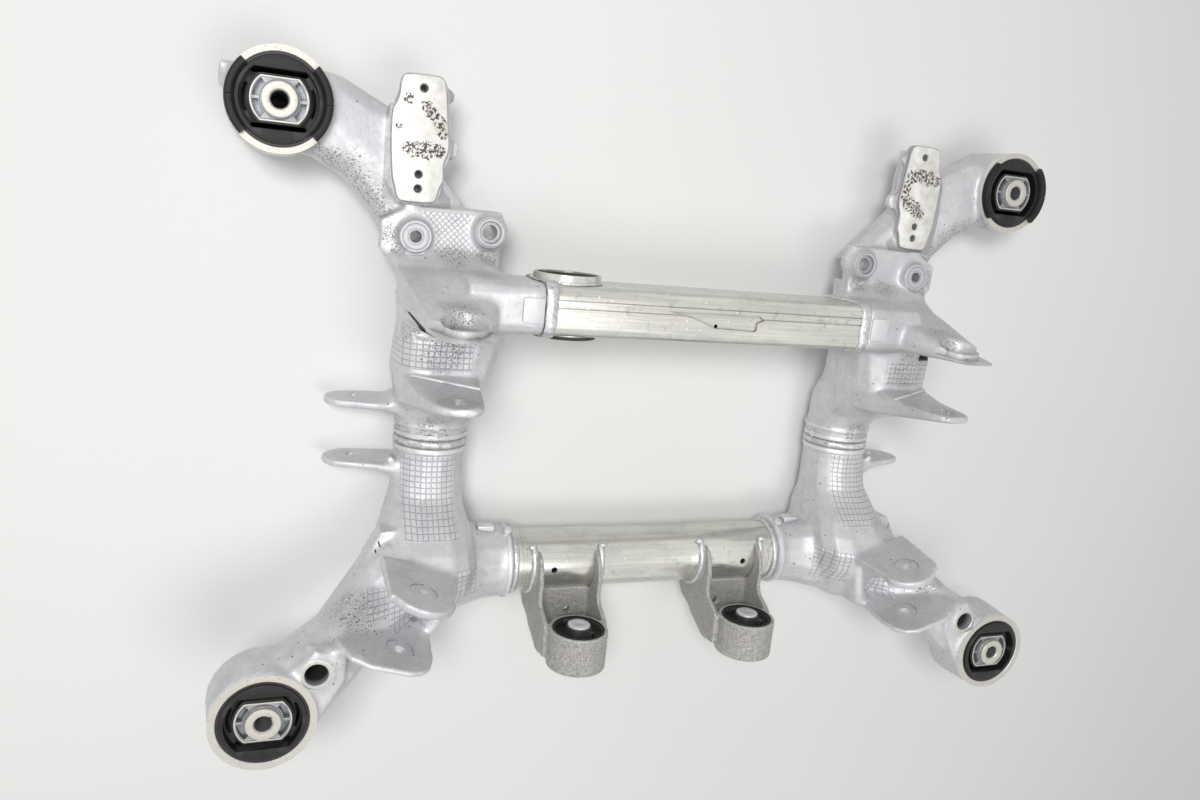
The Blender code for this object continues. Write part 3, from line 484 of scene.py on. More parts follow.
def bracket_casting(tree, where, look):
    """The sand-cast brackets: coarser and darker than the corners, salt-and-pepper mottled, with
    open pores, painted shade in corners, and pale rims, partly rubbed and partly painted highlight."""
    cloud = grain(tree, where, 6, 5, 0.7, 0.3, 0.7)
    pepper = grain(tree, where, 1.7, 5, 0.75, 0.52, 0.62)
    colour = layer(tree, look.bracket, cloud, 1.0, "C4C2BD")
    colour = layer(tree, colour, grain(tree, where, 2.0, 5, 0.75, 0.55, 0.68), 0.7, "E6E4E0")
    colour = layer(tree, colour, pepper, 0.75, "575452")
    # Painted shade in corners.
    colour = layer(tree, colour, painted_hollow_shade(tree, 9, 0.45, 0.86), 0.45, "5F5C5A")
    # Rims lightened: wear, and painted highlight.
    colour = layer(tree, colour, edge_wear_and_sheen(tree), 0.75, "E9E8E6")
    return colour, weigh(tree, (cloud, 0.4), (pepper, -0.6)), 0.5, None


def mount_rubber(tree, where, look):
    """Moulded natural rubber with carbon black: matt to satin, with a painted sheen on what
    stands up."""
    fine = grain(tree, where, 0.9, 3, 0.6)
    colour = layer(tree, look.rubber, grain(tree, where, 6, 5, 0.7, 0.45, 0.75), 0.4, "2E2C2B")
    colour = layer(tree, colour, fine, 0.1, "464442")
    # Edges painted lighter: painted sheen.
    colour = layer(tree, colour, edge_wear_and_sheen(tree), 0.35, "5A5856")
    return colour, fine, 0.1, None


def phosphated_steel(tree, where, look):
    """The pressed steel sleeve of a mount, black from phosphate, with rust freckles."""
    rust = grain(tree, where, 2.5, 5, 0.7, 0.55, 0.7)
    return layer(tree, look.steel, rust, 1.0, "6B5A4C"), rust, 0.08, None


def extruded_aluminium(tree, where, look):
    """The extruded core of a mount: speckled satin grey, with painted shade, dark and bluish, in
    its pockets."""
    fine = grain(tree, where, 1.0, 3, 0.6)
    colour = layer(tree, look.core, grain(tree, where, 4, 5, 0.65), 1.0, "8E9097")
    colour = layer(tree, colour, fine, 0.2, "D0D0D2")
    colour = layer(tree, colour, grain(tree, where, 2.0, 5, 0.75, 0.56, 0.63), 0.7, "57575B")
    # Painted shade in the pockets.
    colour = layer(tree, colour, painted_hollow_shade(tree, 6, 0.35, 0.85), 0.65, "4E4F55")
    return colour, fine, 0.1, None


def studio_floor(tree, where, look):
    """A matt painted studio floor, nearly white."""
    return layer(tree, look.floor, grain(tree, where, 900, 2, 0.5), 1.0, "F1F1EF"), None, 0.0, None


# A finish's pattern, material name, metallic, roughness and specular level.
FINISHES = {
    "cast": (cast_aluminium, "die_cast_aluminium", 0.35, 0.5, 0.5),
    "pad": (pad_corrosion, "corroded_aluminium", 0.4, 0.5, 0.5),
    "machined": (machined_aluminium, "machined_aluminium", 0.4, 0.46, 0.5),
    "tube": (drawn_aluminium, "drawn_aluminium", 0.75, 0.26, 0.5),
    "weld": (weld_metal, "weld_metal", 0.6, 0.34, 0.5),
    "bracket": (bracket_casting, "bracket_cast_aluminium", 0.3, 0.58, 0.5),
    "rubber": (mount_rubber, "mount_rubber", 0.0, 0.48, 0.25),
    "steel": (phosphated_steel, "phosphated_steel", 0.7, 0.5, 0.5),
    "core": (extruded_aluminium, "extruded_aluminium", 0.55, 0.42, 0.5),
    "floor": (studio_floor, "studio_floor", 0.0, 0.8, 0.5),
}
made_finishes = {}


def finish(name):
    """The material of a finish, made once."""
    if name not in made_finishes:
        pattern, label, metallic, roughness, specular = FINISHES[name]
        made = bpy.data.materials.new(label)
        made.use_nodes = True
        tree = made.node_tree
        shader = tree.nodes["Principled BSDF"].inputs
        shader["Metallic"].default_value = metallic
        shader["Roughness"].default_value = roughness
        shader["Specular IOR Level"].default_value = specular
        where = add_node(tree, "TexCoord", output="Object")
        look = bpy.context.scene.subframe_settings
        colour, relief, depth, rough = pattern(tree, where, look)
        tree.links.new(colour, shader["Base Color"])
        if relief is not None:
            bump = add_node(tree, "Bump", 1.0, depth * MM, None, relief)
            tree.links.new(bump, shader["Normal"])
        if rough is not None:
            tree.links.new(rough, shader["Roughness"])
        made_finishes[name] = made
    return made_finishes[name]


# ---------------------------------------------------------------- shapes

def to_object(name, mesh, smooth=35.0):
    """Turns a bmesh into an object at the origin, smooth up to an angle."""
    data = bpy.data.meshes.new(name)
    mesh.to_mesh(data)
    mesh.free()
    made = bpy.data.objects.new(name, data)
    bpy.context.scene.collection.objects.link(made)
    shade(made, smooth)
    return made


def shade(piece, smooth):
    """Shades a piece smooth, with sharp edges where its faces turn by more than an angle."""
    piece.data.polygons.foreach_set("use_smooth", [True] * len(piece.data.polygons))
    piece.data.set_sharp_from_angle(angle=math.radians(smooth))
    piece.data.update()


def dress(piece, materials, slot, *nodes):
    """Gives a piece its materials, and lets it stand for its CAD nodes."""
    data = piece.data
    marks = np.empty(len(data.polygons), dtype=np.int32)
    data.polygons.foreach_get("material_index", marks)
    data.materials.clear()
    for name in materials:
        data.materials.append(finish(name))
    data.polygons.foreach_set("material_index", marks)
    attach(piece, "root")
    if nodes:
        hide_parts(*nodes)


def turned(profile, centre, axis, steps=64, angle=360.0, side=None, mesh=None):
    """Spins (radius, height) points about an axis through centre."""
    mesh = bmesh.new() if mesh is None else mesh
    axis = axis.normalized()
    side = axis.orthogonal().normalized() if side is None else side
    middle = at(*centre)
    corners = [mesh.verts.new(middle + (side * r + axis * h) * MM) for r, h in profile]
    edges = [mesh.edges.new(pair) for pair in zip(corners, corners[1:])]
    if profile[0][0] > 0.001:
        edges.append(mesh.edges.new((corners[-1], corners[0])))
    geometry = corners + edges
    if angle < 360:
        geometry.append(mesh.faces.new(corners))
    bmesh.ops.spin(
        mesh,
        geom=geometry,
        cent=middle,
        axis=axis,
        angle=math.radians(angle),
        steps=steps,
        use_merge=angle >= 360,
    )
    bmesh.ops.remove_doubles(mesh, verts=mesh.verts, dist=0.000002)
    bmesh.ops.recalc_face_normals(mesh, faces=mesh.faces)
    return mesh


def bar(radius, low, high):
    """The profile of a round bar between two heights."""
    return ((0, low), (radius, low), (radius, high), (0, high))


def rod(start, end, bulge, steps, mesh=None):
    """A rod between two points. bulge is the profile of its rounded start."""
    start, end = Vector(start), Vector(end)
    tall = (end - start).length
    profile = [*bulge, *[(r, tall - h) for r, h in reversed(bulge)]]
    return turned(profile, start, end - start, steps, mesh=mesh)


def block(outline, low, high, origin=ORIGIN, along=X, across=Y, mesh=None):
    """Extrudes an outline from low to high along its normal."""
    mesh = bmesh.new() if mesh is None else mesh
    normal = along.cross(across)
    corners = [origin + along * a + across * b + normal * low for a, b in outline]
    face = mesh.faces.new([mesh.verts.new(at(*corner)) for corner in corners])
    grown = bmesh.ops.extrude_face_region(mesh, geom=[face])["geom"]
    moved = [part for part in grown if isinstance(part, bmesh.types.BMVert)]
    bmesh.ops.translate(mesh, verts=moved, vec=normal * (high - low) * MM)
    bmesh.ops.recalc_face_normals(mesh, faces=mesh.faces)
    return mesh


def arc(centre, radius, start, end, count):
    """Points on an arc between two angles."""
    points = []
    for i in range(count + 1):
        turn = math.radians(start + (end - start) * i / count)
        points.append((centre[0] + radius * math.cos(turn), centre[1] + radius * math.sin(turn)))
    return points


def combine(piece, tool, operation):
    """Cuts a piece with a tool or joins them, and removes the tool."""
    added = piece.modifiers.new("Combine", "BOOLEAN")
    added.operation = operation
    added.solver = "MANIFOLD"
    added.object = tool
    bake(piece)
    bpy.data.objects.remove(tool)
    if not piece.data.polygons:
        raise RuntimeError(f"{piece.name} lost its mesh in a cut")


def cut(piece, mesh, operation="DIFFERENCE"):
    """Cuts a piece with a bmesh, or joins them."""
    bmesh.ops.recalc_face_normals(mesh, faces=mesh.faces)
    data = bpy.data.meshes.new("tool")
    mesh.to_mesh(data)
    mesh.free()
    tool = bpy.data.objects.new("tool", data)
    bpy.context.scene.collection.objects.link(tool)
    combine(piece, tool, operation)


def join_softened(piece, mesh, width):
    """Joins a bmesh to a piece, with its sharp edges bevelled first."""
    part = to_object("part", mesh)
    soften(part, width, 60)
    combine(piece, part, "UNION")


def bake(piece):
    """Applies every modifier of a piece."""
    bpy.context.view_layer.update()
    graph = bpy.context.evaluated_depsgraph_get()
    data = bpy.data.meshes.new_from_object(piece.evaluated_get(graph))
    old = piece.data
    piece.modifiers.clear()
    piece.data = data
    bpy.data.meshes.remove(old)


def soften(piece, width, angle):
    """Rounds the edges that are sharper than an angle."""
    added = piece.modifiers.new("Edges", "BEVEL")
    added.width = width * MM
    added.segments = 2
    added.limit_method = "ANGLE"
    added.angle_limit = math.radians(angle)
    added.miter_outer = "MITER_ARC"
    added.harden_normals = False
    bake(piece)


def copy_of(node, name):
    """A closed copy of a CAD node, with its loose triangles merged."""
    mesh = bmesh.new()
    mesh.from_mesh(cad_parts[node].data)
    bmesh.ops.remove_doubles(mesh, verts=mesh.verts, dist=0.00001)
    return to_object(name, mesh)


def skinned(node, name, fills, size, rounds, fillet_rounds):
    """A copy of a CAD node with more closed bodies in it, rebuilt as one skin of small quads."""
    piece = copy_of(node, name)
    if fills is not None:
        fills.from_mesh(piece.data)
        fills.to_mesh(piece.data)
        fills.free()
    remesh(piece, size)
    relax(piece, rounds, fillet_rounds)
    return piece


def remesh(piece, size):
    """Rebuilds a piece as one skin of small quads."""
    added = piece.modifiers.new("Skin", "REMESH")
    added.mode = "VOXEL"
    added.voxel_size = size * MM
    added.adaptivity = 0.0
    bake(piece)


def relax(piece, rounds, fillet_rounds):
    """Smooths a skin: a few rounds everywhere, then more where it is hollow, which grows the
    fillets that a casting has in its corners."""
    data = piece.data
    count = len(data.vertices)
    points = np.empty(count * 3)
    data.vertices.foreach_get("co", points)
    points = points.reshape(-1, 3)
    ends = np.empty(len(data.edges) * 2, dtype=np.int64)
    data.edges.foreach_get("vertices", ends)
    ends = ends.reshape(-1, 2)
    first = np.concatenate([ends[:, 0], ends[:, 1]])
    second = np.concatenate([ends[:, 1], ends[:, 0]])
    near = np.bincount(first, minlength=count).clip(1)

    def pull():
        mean = np.stack([np.bincount(first, points[second, i], count) for i in range(3)], 1)
        return mean / near[:, None] - points

    for _ in range(rounds):
        points += 0.6 * pull()
        points -= 0.35 * pull()
    normals = np.empty(count * 3)
    for i in range(fillet_rounds):
        if i % 6 == 0:
            data.vertices.foreach_set("co", points.ravel())
            data.update()
            data.vertex_normals.foreach_get("vector", normals)
            facing = normals.reshape(-1, 3)
        step = pull()
        rise = (step * facing).sum(1)
        points += facing * np.clip(rise, 0, None)[:, None] * 0.8
    for _ in range(2):
        points += 0.5 * pull()
    data.vertices.foreach_set("co", points.ravel())
    data.update()


def ring(centre, axis, inner, outer, low, high, edge, steps=96):
    """A ring with rounded outer edges, to join to a skin."""
    profile = [(inner, low), (outer - edge, low), (outer, low + edge), (outer, high - edge)]
    profile += [(outer - edge * 0.3, high - edge * 0.3), (outer - edge, high), (inner, high)]
    return turned(profile, centre, axis, steps)


def rounded(outline):
    """An outline with its corners cut off."""
    fresh = []
    for i, (a, b) in enumerate(outline):
        c, d = outline[(i + 1) % len(outline)]
        fresh.append((a * 0.75 + c * 0.25, b * 0.75 + d * 0.25))
        fresh.append((a * 0.25 + c * 0.75, b * 0.25 + d * 0.75))
    return fresh


def mirror(piece, name):
    """A copy of a right-hand piece for the left side."""
    mesh = bmesh.new()
    mesh.from_mesh(piece.data)
    bmesh.ops.scale(mesh, verts=mesh.verts, vec=(-1, 1, 1))
    bmesh.ops.reverse_faces(mesh, faces=mesh.faces)
    return to_object(name, mesh)


def mark(piece, number, test):
    """Gives another material to the faces whose centre, folded to the right, and normal pass."""
    for face in piece.data.polygons:
        middle = face.center
        spot = Vector((abs(middle.x) / MM, middle.y / MM + MIDDLE_Y, middle.z / MM - GROUND))
        if test(spot, face.normal):
            face.material_index = number


def ring_test(centre, low, high, level):
    """A test for the faces of a flat ring that lies at one height."""
    def test(spot, normal):
        reach = math.hypot(spot.x - centre[0], spot.y - centre[1])
        return low < reach < high and abs(spot.z - level) < 0.3 and normal.z > 0.95
    return test


def pad_test(spot, normal):
    """A test for the milled face of the bolted pad."""
    return 310 < spot.x < 382 and 560 < spot.y < 706 and abs(spot.z - PAD_Z) < 0.15


# ---------------------------------------------------------------- castings

def eye_plug(mesh, mount, span):
    """Fills a mount eye, so that its bore and rim can be machined after the skin is smooth."""
    turned(bar(54, span[0] + 2, span[1] + 2.5), (*mount, 0), Z, 48, mesh=mesh)


def eye_cutter(mesh, mount, span):
    """Bores a mount eye and faces its rim."""
    low, high = span
    profile = ((0, low - 8), (MOUNT_BORE_R, low - 8), (MOUNT_BORE_R, high - 0.7))
    profile += ((MOUNT_BORE_R + 0.7, high), (62, high), (62, high + 20), (0, high + 20))
    turned(profile, (*mount, 0), Z, 96, mesh=mesh)


def rear_castings():
    fills = bmesh.new()
    eye_plug(fills, REAR_MOUNT, REAR_EYE_Z)
    for x, y in BOSSES:
        turned(bar(18.5, -150, BOSS_Z + 2.5), (x, y, 0), Z, 32, mesh=fills)
    seat = ((0, 434.5), (24.5, 440), (24.5, 442.5), (0, 442.5))
    turned(seat, (EAR_BOLT[0], 0, EAR_BOLT[1]), Y, 32, mesh=fills)
    block(WINDOW_FILL, -428.5, -415, along=X, across=Z, mesh=fills)
    skin = skinned("rear_node_right", "rear_corner_right", fills, CAST_SKIN, 6, 16)
    high = REAR_EYE_Z[1]
    cut(skin, ring((*REAR_MOUNT, 0), Z, 44, 55.5, high - 12, high + 1, 0.8), "UNION")
    cut(skin, block(rounded(PAD_LAND), PAD_Z - 3, PAD_Z + 12))
    join_softened(skin, block(rounded(PAD), -146, PAD_Z), 1.5)
    join_softened(skin, block(PANEL, -30, -21.6), 0.5)
    for start, end in zip(RIDGE, RIDGE[1:]):
        cut(skin, rod(start, end, ((0, -1.4), (1.6, -1.1), (2.4, 0)), 24), "UNION")
    neck = (NECK_X, 0, NECK_Z)
    cut(skin, ring(neck, Y, 34, 46.4, 277.5, 285.5, 2.2), "UNION")
    cut(skin, ring(neck, Y, 34, 47.0, 290, 299, 2.6), "UNION")

    other = mirror(skin, "rear_corner_left")
    for piece, side in ((skin, 1), (other, -1)):
        tools = bmesh.new()
        eye_cutter(tools, (side * REAR_MOUNT[0], REAR_MOUNT[1]), REAR_EYE_Z)
        for i, (x, y) in enumerate(BOSSES):
            hole = BOSS_HOLES[i]
            mouth = 9 + 4 * i
            depth = BOSS_Z - 4 * i - 1
            groove = 14 + 1.6 * i
            profile = ((0, -216), (hole, -216), (hole, depth), (mouth, depth))
            profile += ((mouth, BOSS_Z - 0.5), (mouth + 0.5, BOSS_Z), (groove, BOSS_Z))
            profile += ((groove + 0.4, BOSS_Z - 0.7), (groove + 1, BOSS_Z - 0.7))
            profile += ((groove + 1.4, BOSS_Z), (17.4, BOSS_Z), (19.2, BOSS_Z - 1.8))
            profile += ((22, BOSS_Z - 1.8), (22, -100), (0, -100))
            turned(profile, (side * x, y, 0), Z, 40, mesh=tools)
        for x, y in PAD_HOLES:
            profile = ((0, -160), (4.2, -160), (4.2, PAD_Z - 1.1))
            profile += ((5.3, PAD_Z), (5.3, -110), (0, -110))
            turned(profile, (side * x, y, 0), Z, 24, mesh=tools)
        seat = ((0, -100), (BOLT_HOLE_R, -100), (BOLT_HOLE_R, -0.6), (7.1, 0), (24, 0))
        seat += ((24, 60), (0, 60))
        middle = Vector((side * EAR_BOLT[0], SEAT_Y, EAR_BOLT[1]))
        turned(seat, middle, SEAT_UP, 64, mesh=tools)
        over = middle + SEAT_UP * 2.8
        block(MILLED, -40, 0, over, X, SEAT_UP.cross(X) * -1, tools)
        x, y, z = OUTER_BOLT
        turned(bar(BOLT_HOLE_R, 306, 326), (side * x, y, z), Y, 32, mesh=tools)
        if side < 0:
            relief = bar(COLLAR_R + 3.6, 400, 520)
            turned(relief, (-COLLAR_X, 0, COLLAR_Z), Y, 72, mesh=tools)
            block(CREASE, -98, 6, mesh=tools)
        else:
            block(WINDOW, -427.5, -416, along=X, across=Z, mesh=tools)
            dot = ((0, -4), (4.8, -4), (4.8, 1.4), (3.8, 2.2), (0, 2.2))
            dot = turned(dot, (260, 282, -177), Vector((-0.99, 0, 0.15)), 32)
            cut(piece, dot, "UNION")
        cut(piece, tools)
        mark(piece, 1, ring_test(REAR_MOUNT, 45, 60, REAR_EYE_Z[1]))
        for boss in BOSSES:
            mark(piece, 1, ring_test(boss, 9, 13.9, BOSS_Z - 4))
        mark(piece, 2, pad_test)
        shade(piece, 40)
    dress(skin, ("cast", "machined", "pad"), "cast_aluminium", "rear_node_right")
    dress(other, ("cast", "machined", "pad"), "cast_aluminium", "rear_node_left")


def front_castings():
    fills = bmesh.new()
    eye_plug(fills, FRONT_MOUNT, FRONT_EYE_Z)
    turned(bar(14.5, -62, -5), (*SMALL_HOLE, 0), Z, 32, mesh=fills)
    for centre, thick in ((EAR_UP, 9), (EAR_DOWN, 6)):
        seat = ((0, -thick), (8, -thick), (16, -1.5), (16, 0.5), (0, 0.5))
        turned(seat, centre, BOLT_PLANE, 32, mesh=fills)
    for start, end in zip(WEB, WEB[1:]):
        rod(start, end, ((0, -5), (3.6, -3.6), (5, 0)), 20, fills)
    skin = skinned("front_node_right", "front_corner_right", fills, CAST_SKIN, 6, 16)
    high = FRONT_EYE_Z[1]
    for centre, axis, inner, outer, start, end, edge, steps in (
        ((*FRONT_MOUNT, 0), Z, 44, 56.5, high - 14, high + 1, 0.8, 96),
        ((*SMALL_HOLE, 0), Z, 9, 19, -16, -6, 1.4, 48),
        ((NECK_X, 0, NECK_Z), Y, 34, 46.4, 258, 266.5, 2.4, 96),
        (ROUND_TUBE, X, 36, 49.4, 198.5, 206, 2.4, 96),
    ):
        cut(skin, ring(centre, axis, inner, outer, start, end, edge, steps), "UNION")
    join_softened(skin, block(LUG, -172, -155), 1.6)
    dot = ((0, -8), (5.4, -8), (5.4, 5.2), (4.4, 6.8), (2.4, 7.4), (0, 7.4))
    cut(skin, turned(dot, (203, 153, -150), Vector((0, 0.7, 0.7)), 32), "UNION")

    other = mirror(skin, "front_corner_left")
    for piece, side in ((skin, 1), (other, -1)):
        tools = bmesh.new()
        eye_cutter(tools, (side * FRONT_MOUNT[0], FRONT_MOUNT[1]), FRONT_EYE_Z)
        profile = ((0, -62), (SMALL_HOLE_R, -62), (SMALL_HOLE_R, -7), (SMALL_HOLE_R + 1, -6))
        profile += ((SMALL_HOLE_R + 3.4, -6), (SMALL_HOLE_R + 3.4, 12), (0, 12))
        turned(profile, (side * SMALL_HOLE[0], SMALL_HOLE[1], 0), Z, 48, mesh=tools)
        plane = Vector((side * BOLT_PLANE.x, BOLT_PLANE.y, BOLT_PLANE.z))
        for centre, thick in ((EAR_UP, 40), (EAR_DOWN, 16)):
            seat = ((0, -thick), (BOLT_HOLE_R, -thick), (BOLT_HOLE_R, -1), (17, -1))
            seat += ((17, 22), (0, 22))
            turned(seat, (side * centre.x, centre.y, centre.z), plane, 48, mesh=tools)
        x, y, z = OUTER_BOLT
        turned(bar(BOLT_HOLE_R, 228, 244), (side * x, y, z), Y, 32, mesh=tools)
        for x, y in ARM_SLOTS:
            slot = ((-0.2, 3.6), (-2.4, -2.8), (-0.6, -3.6), (1.6, 2.8))
            block([(side * (x + a), y + b) for a, b in slot], -120, -108, mesh=tools)
        cut(piece, tools)
        mark(piece, 1, ring_test(FRONT_MOUNT, 45, 60, FRONT_EYE_Z[1]))
        mark(piece, 1, ring_test(SMALL_HOLE, 10, 18, -6))
        shade(piece, 40)
    dress(skin, ("cast", "machined"), "cast_aluminium", "front_node_right")
    dress(other, ("cast", "machined"), "cast_aluminium", "front_node_left")


def brackets():
    skin = skinned("diff_bracket_right", "bracket_right", None, BRACKET_SKIN, 4, 8)
    other = mirror(skin, "bracket_left")
    bore = bar(BUSH_R + 1.8, BUSH.y - BUSH_LENGTH - 6, BUSH.y + 20)
    for piece, side in ((skin, 1), (other, -1)):
        cut(piece, turned(bore, (side * BUSH.x, 0, BUSH.z), Y, 72))
        shade(piece, 40)
    dress(skin, ("bracket",), "bracket_aluminium", "diff_bracket_right")
    dress(other, ("bracket",), "bracket_aluminium", "diff_bracket_left")

    # A bead runs down each flange's foot from a blob where the weld was started.
    reach = ROUND_TUBE_END_R + 1.8
    turns = [math.radians(turn) for turn in range(0, 360, 20)]
    section = [(reach + 3.4 * math.cos(turn), 4.4 * math.sin(turn)) for turn in turns]
    first = math.radians(50)
    start = Vector((0, math.cos(first), math.sin(first)))
    pitch = bpy.context.scene.subframe_settings.weld_pitch
    for side, end in SIDES:
        for name, x, out in (("outer", 168.5, 1), ("inner", 75.0, -1)):
            centre = Vector((side * x, *ROUND_TUBE[1:]))
            mesh = turned(section, centre, X, 130, 152, start)
            bead = to_object(f"bracket_bead_{name}_{end}", mesh)
            ripple(bead, centre, 0, pitch, 0.45, 0.2)
            tip = at(*(centre + start * reach + Vector((side * out * 2.4, 1.5, 1.2))))
            blob = bmesh.new()
            place = Matrix.Translation(tip) @ Matrix.Diagonal((1.35, 0.9, 0.9, 1))
            bmesh.ops.create_uvsphere(
                blob, u_segments=24, v_segments=14, radius=4.4 * MM, matrix=place
            )
            cut(bead, blob, "UNION")
            shade(bead, 180)
            dress(bead, ("weld",), "weld_aluminium")


# ---------------------------------------------------------------- tubes and welds

def box_section(inset):
    """The outline of the box tube, less a wall."""
    half_y = BOX_TUBE_HALF[0] - inset
    half_z = BOX_TUBE_HALF[1] - inset
    radius = BOX_TUBE_CORNER - inset
    points = []
    for sign_y, sign_z, start in ((1, 1, 0), (-1, 1, 90), (-1, -1, 180), (1, -1, 270)):
        corner = (sign_y * (half_y - radius), sign_z * (half_z - radius))
        points += arc(corner, radius, start, start + 90, 10)
    return points


def box_tube():
    centre = Vector((0, BOX_TUBE_Y, BOX_TUBE_Z))
    end = BOX_TUBE_X
    tube = to_object("box_tube", block(box_section(0), -end, end, centre, Y, Z))
    cut(tube, block(box_section(BOX_TUBE_WALL), -end - 5, end + 5, centre, Y, Z))
    front = BOX_TUBE_Z + BOX_TUBE_HALF[1]
    cut(tube, turned(bar(COLLAR_R + 0.3, 410, 520), (-COLLAR_X, 0, COLLAR_Z), Y, 72))
    cut(tube, turned(bar(2.4, front - 12, front + 5), (-2, 453, 0), Z, 24))
    for y in BOX_GROOVES:
        groove = [(-end - 5, y), (end + 5, y), (end + 5, y + 1.4), (-end - 5, y + 1.4)]
        cut(tube, block(groove, front - 1.3, front + 5))
    cut(tube, block(BOX_DENT, front - 2.6, front + 5))
    shade(tube, 30)
    weight = tube.modifiers.new("Flat faces", "WEIGHTED_NORMAL")
    weight.keep_sharp = True
    dress(tube, ("tube",), "tube_aluminium", "rear_cross_tube")

    low, high = COLLAR_Y
    inner = COLLAR_R - COLLAR_WALL
    tall = high - low
    profile = ((COLLAR_R - 0.8, tall), (COLLAR_R - 0.2, tall - 0.3), (COLLAR_R, tall - 0.8))
    profile += ((COLLAR_R, 0.8), (COLLAR_R - 0.8, 0), (inner, 0), (inner, tall - 0.6))
    profile += ((inner + 0.6, tall),)
    collar = to_object("collar", turned(profile, (-COLLAR_X, low, COLLAR_Z), Y, 96))
    dress(collar, ("tube",), "tube_aluminium", "tube_collar")


def round_tube():
    thin = ROUND_TUBE_R
    thick = ROUND_TUBE_END_R
    end = ROUND_TUBE_X
    wall = ROUND_TUBE_WALL
    rings = [(184.5, 0), (184, 0.5), (182.6, 0.5), (182.1, 0), (180.4, 0), (179.9, 0.4)]
    rings += [(178.6, 0.4), (178.1, 0), (176.4, 0), (176, 0.3), (175, 0.3), (174.6, 0)]
    profile = [(thick, end)] + [(thick + rise, x) for x, rise in rings]
    profile += [(thick, 71), (thick - 0.3, 68), (thin + 0.3, 62), (thin, 59)]
    profile += [(r, -x) for r, x in reversed(profile)]
    profile += [(thick - wall, -end), (thin - wall, -60), (thin - wall, 60), (thick - wall, end)]
    tube = to_object("round_tube", turned(profile, ROUND_TUBE, X, 128))
    for side in (1, -1):
        cut(tube, turned(bar(4.2, -150, -110), (side * 141, 105.8, 0), Z, 24))
    shade(tube, 30)
    dress(tube, ("tube",), "tube_aluminium", "front_cross_tube")


def ripple(piece, centre, axis, pitch, depth, swell):
    """Swells a bead and presses the ripples of a weld into it, by their place round an axis.
    The pitch is in metres."""
    data = piece.data
    count = len(data.vertices)
    points = np.empty(count * 3)
    normals = np.empty(count * 3)
    data.vertices.foreach_get("co", points)
    data.vertex_normals.foreach_get("vector", normals)
    points = points.reshape(-1, 3)
    normals = normals.reshape(-1, 3)
    middle = np.array(at(*centre))
    others = [i for i in range(3) if i != axis]
    away = points[:, others] - middle[others]
    turn = np.arctan2(away[:, 1], away[:, 0])
    reach = np.hypot(away[:, 0], away[:, 1]).mean()
    lean = (points[:, axis] - middle[axis]) * 0.8 / reach
    along = (turn + lean) * reach / pitch
    dip = 0.5 - 0.5 * np.cos(2 * np.pi * along)
    wander = 0.5 + 0.5 * np.sin(turn * 7.0) * np.sin(turn * 3.0 + 1.0)
    points -= normals * (dip * depth + wander * depth * 1.2 - swell)[:, None] * MM
    data.vertices.foreach_set("co", points.ravel())
    data.update()


def widen(piece, share):
    """Spreads a bead of the box tube over the tube, from its end on the casting."""
    end = max((vertex.co.x for vertex in piece.data.vertices), key=abs)
    for vertex in piece.data.vertices:
        vertex.co.x = end + (vertex.co.x - end) * share


def beads():
    look = bpy.context.scene.subframe_settings
    box = (0, BOX_TUBE_Y, BOX_TUBE_Z)
    for node, centre, axis, swell in (
        ("round_weld_right", ROUND_TUBE, 0, 1.1),
        ("round_weld_left", ROUND_TUBE, 0, 1.1),
        ("neck_weld_right", (NECK_X, 0, NECK_Z), 1, 1.0),
        ("neck_weld_left", (-NECK_X, 0, NECK_Z), 1, 1.0),
        ("box_weld_right", box, 0, 1.3),
        ("box_weld_left_front", box, 0, 1.3),
        ("box_weld_left_back", box, 0, 1.3),
        ("collar_weld", (-COLLAR_X, 0, COLLAR_Z), 1, 0.5),
    ):
        piece = copy_of(node, node.replace("weld", "bead"))
        pitch, depth = look.weld_pitch, 0.32
        if centre == box:
            widen(piece, 1.6)
            pitch, depth = look.box_weld_pitch, 0.6
        remesh(piece, BEAD_SKIN)
        relax(piece, 6, 0)
        ripple(piece, centre, axis, pitch, depth, swell)
        shade(piece, 180)
        dress(piece, ("weld",), "weld_aluminium", node)


# ---------------------------------------------------------------- mounts and bushes

def chord_disc(radius, half):
    """The outline of a disc cut flat at plus and minus half of its Y."""
    turn = math.degrees(math.asin(half / radius))
    right = arc((0, 0), radius, -turn, turn, 16)
    return right + arc((0, 0), radius, 180 - turn, 180 + turn, 16)


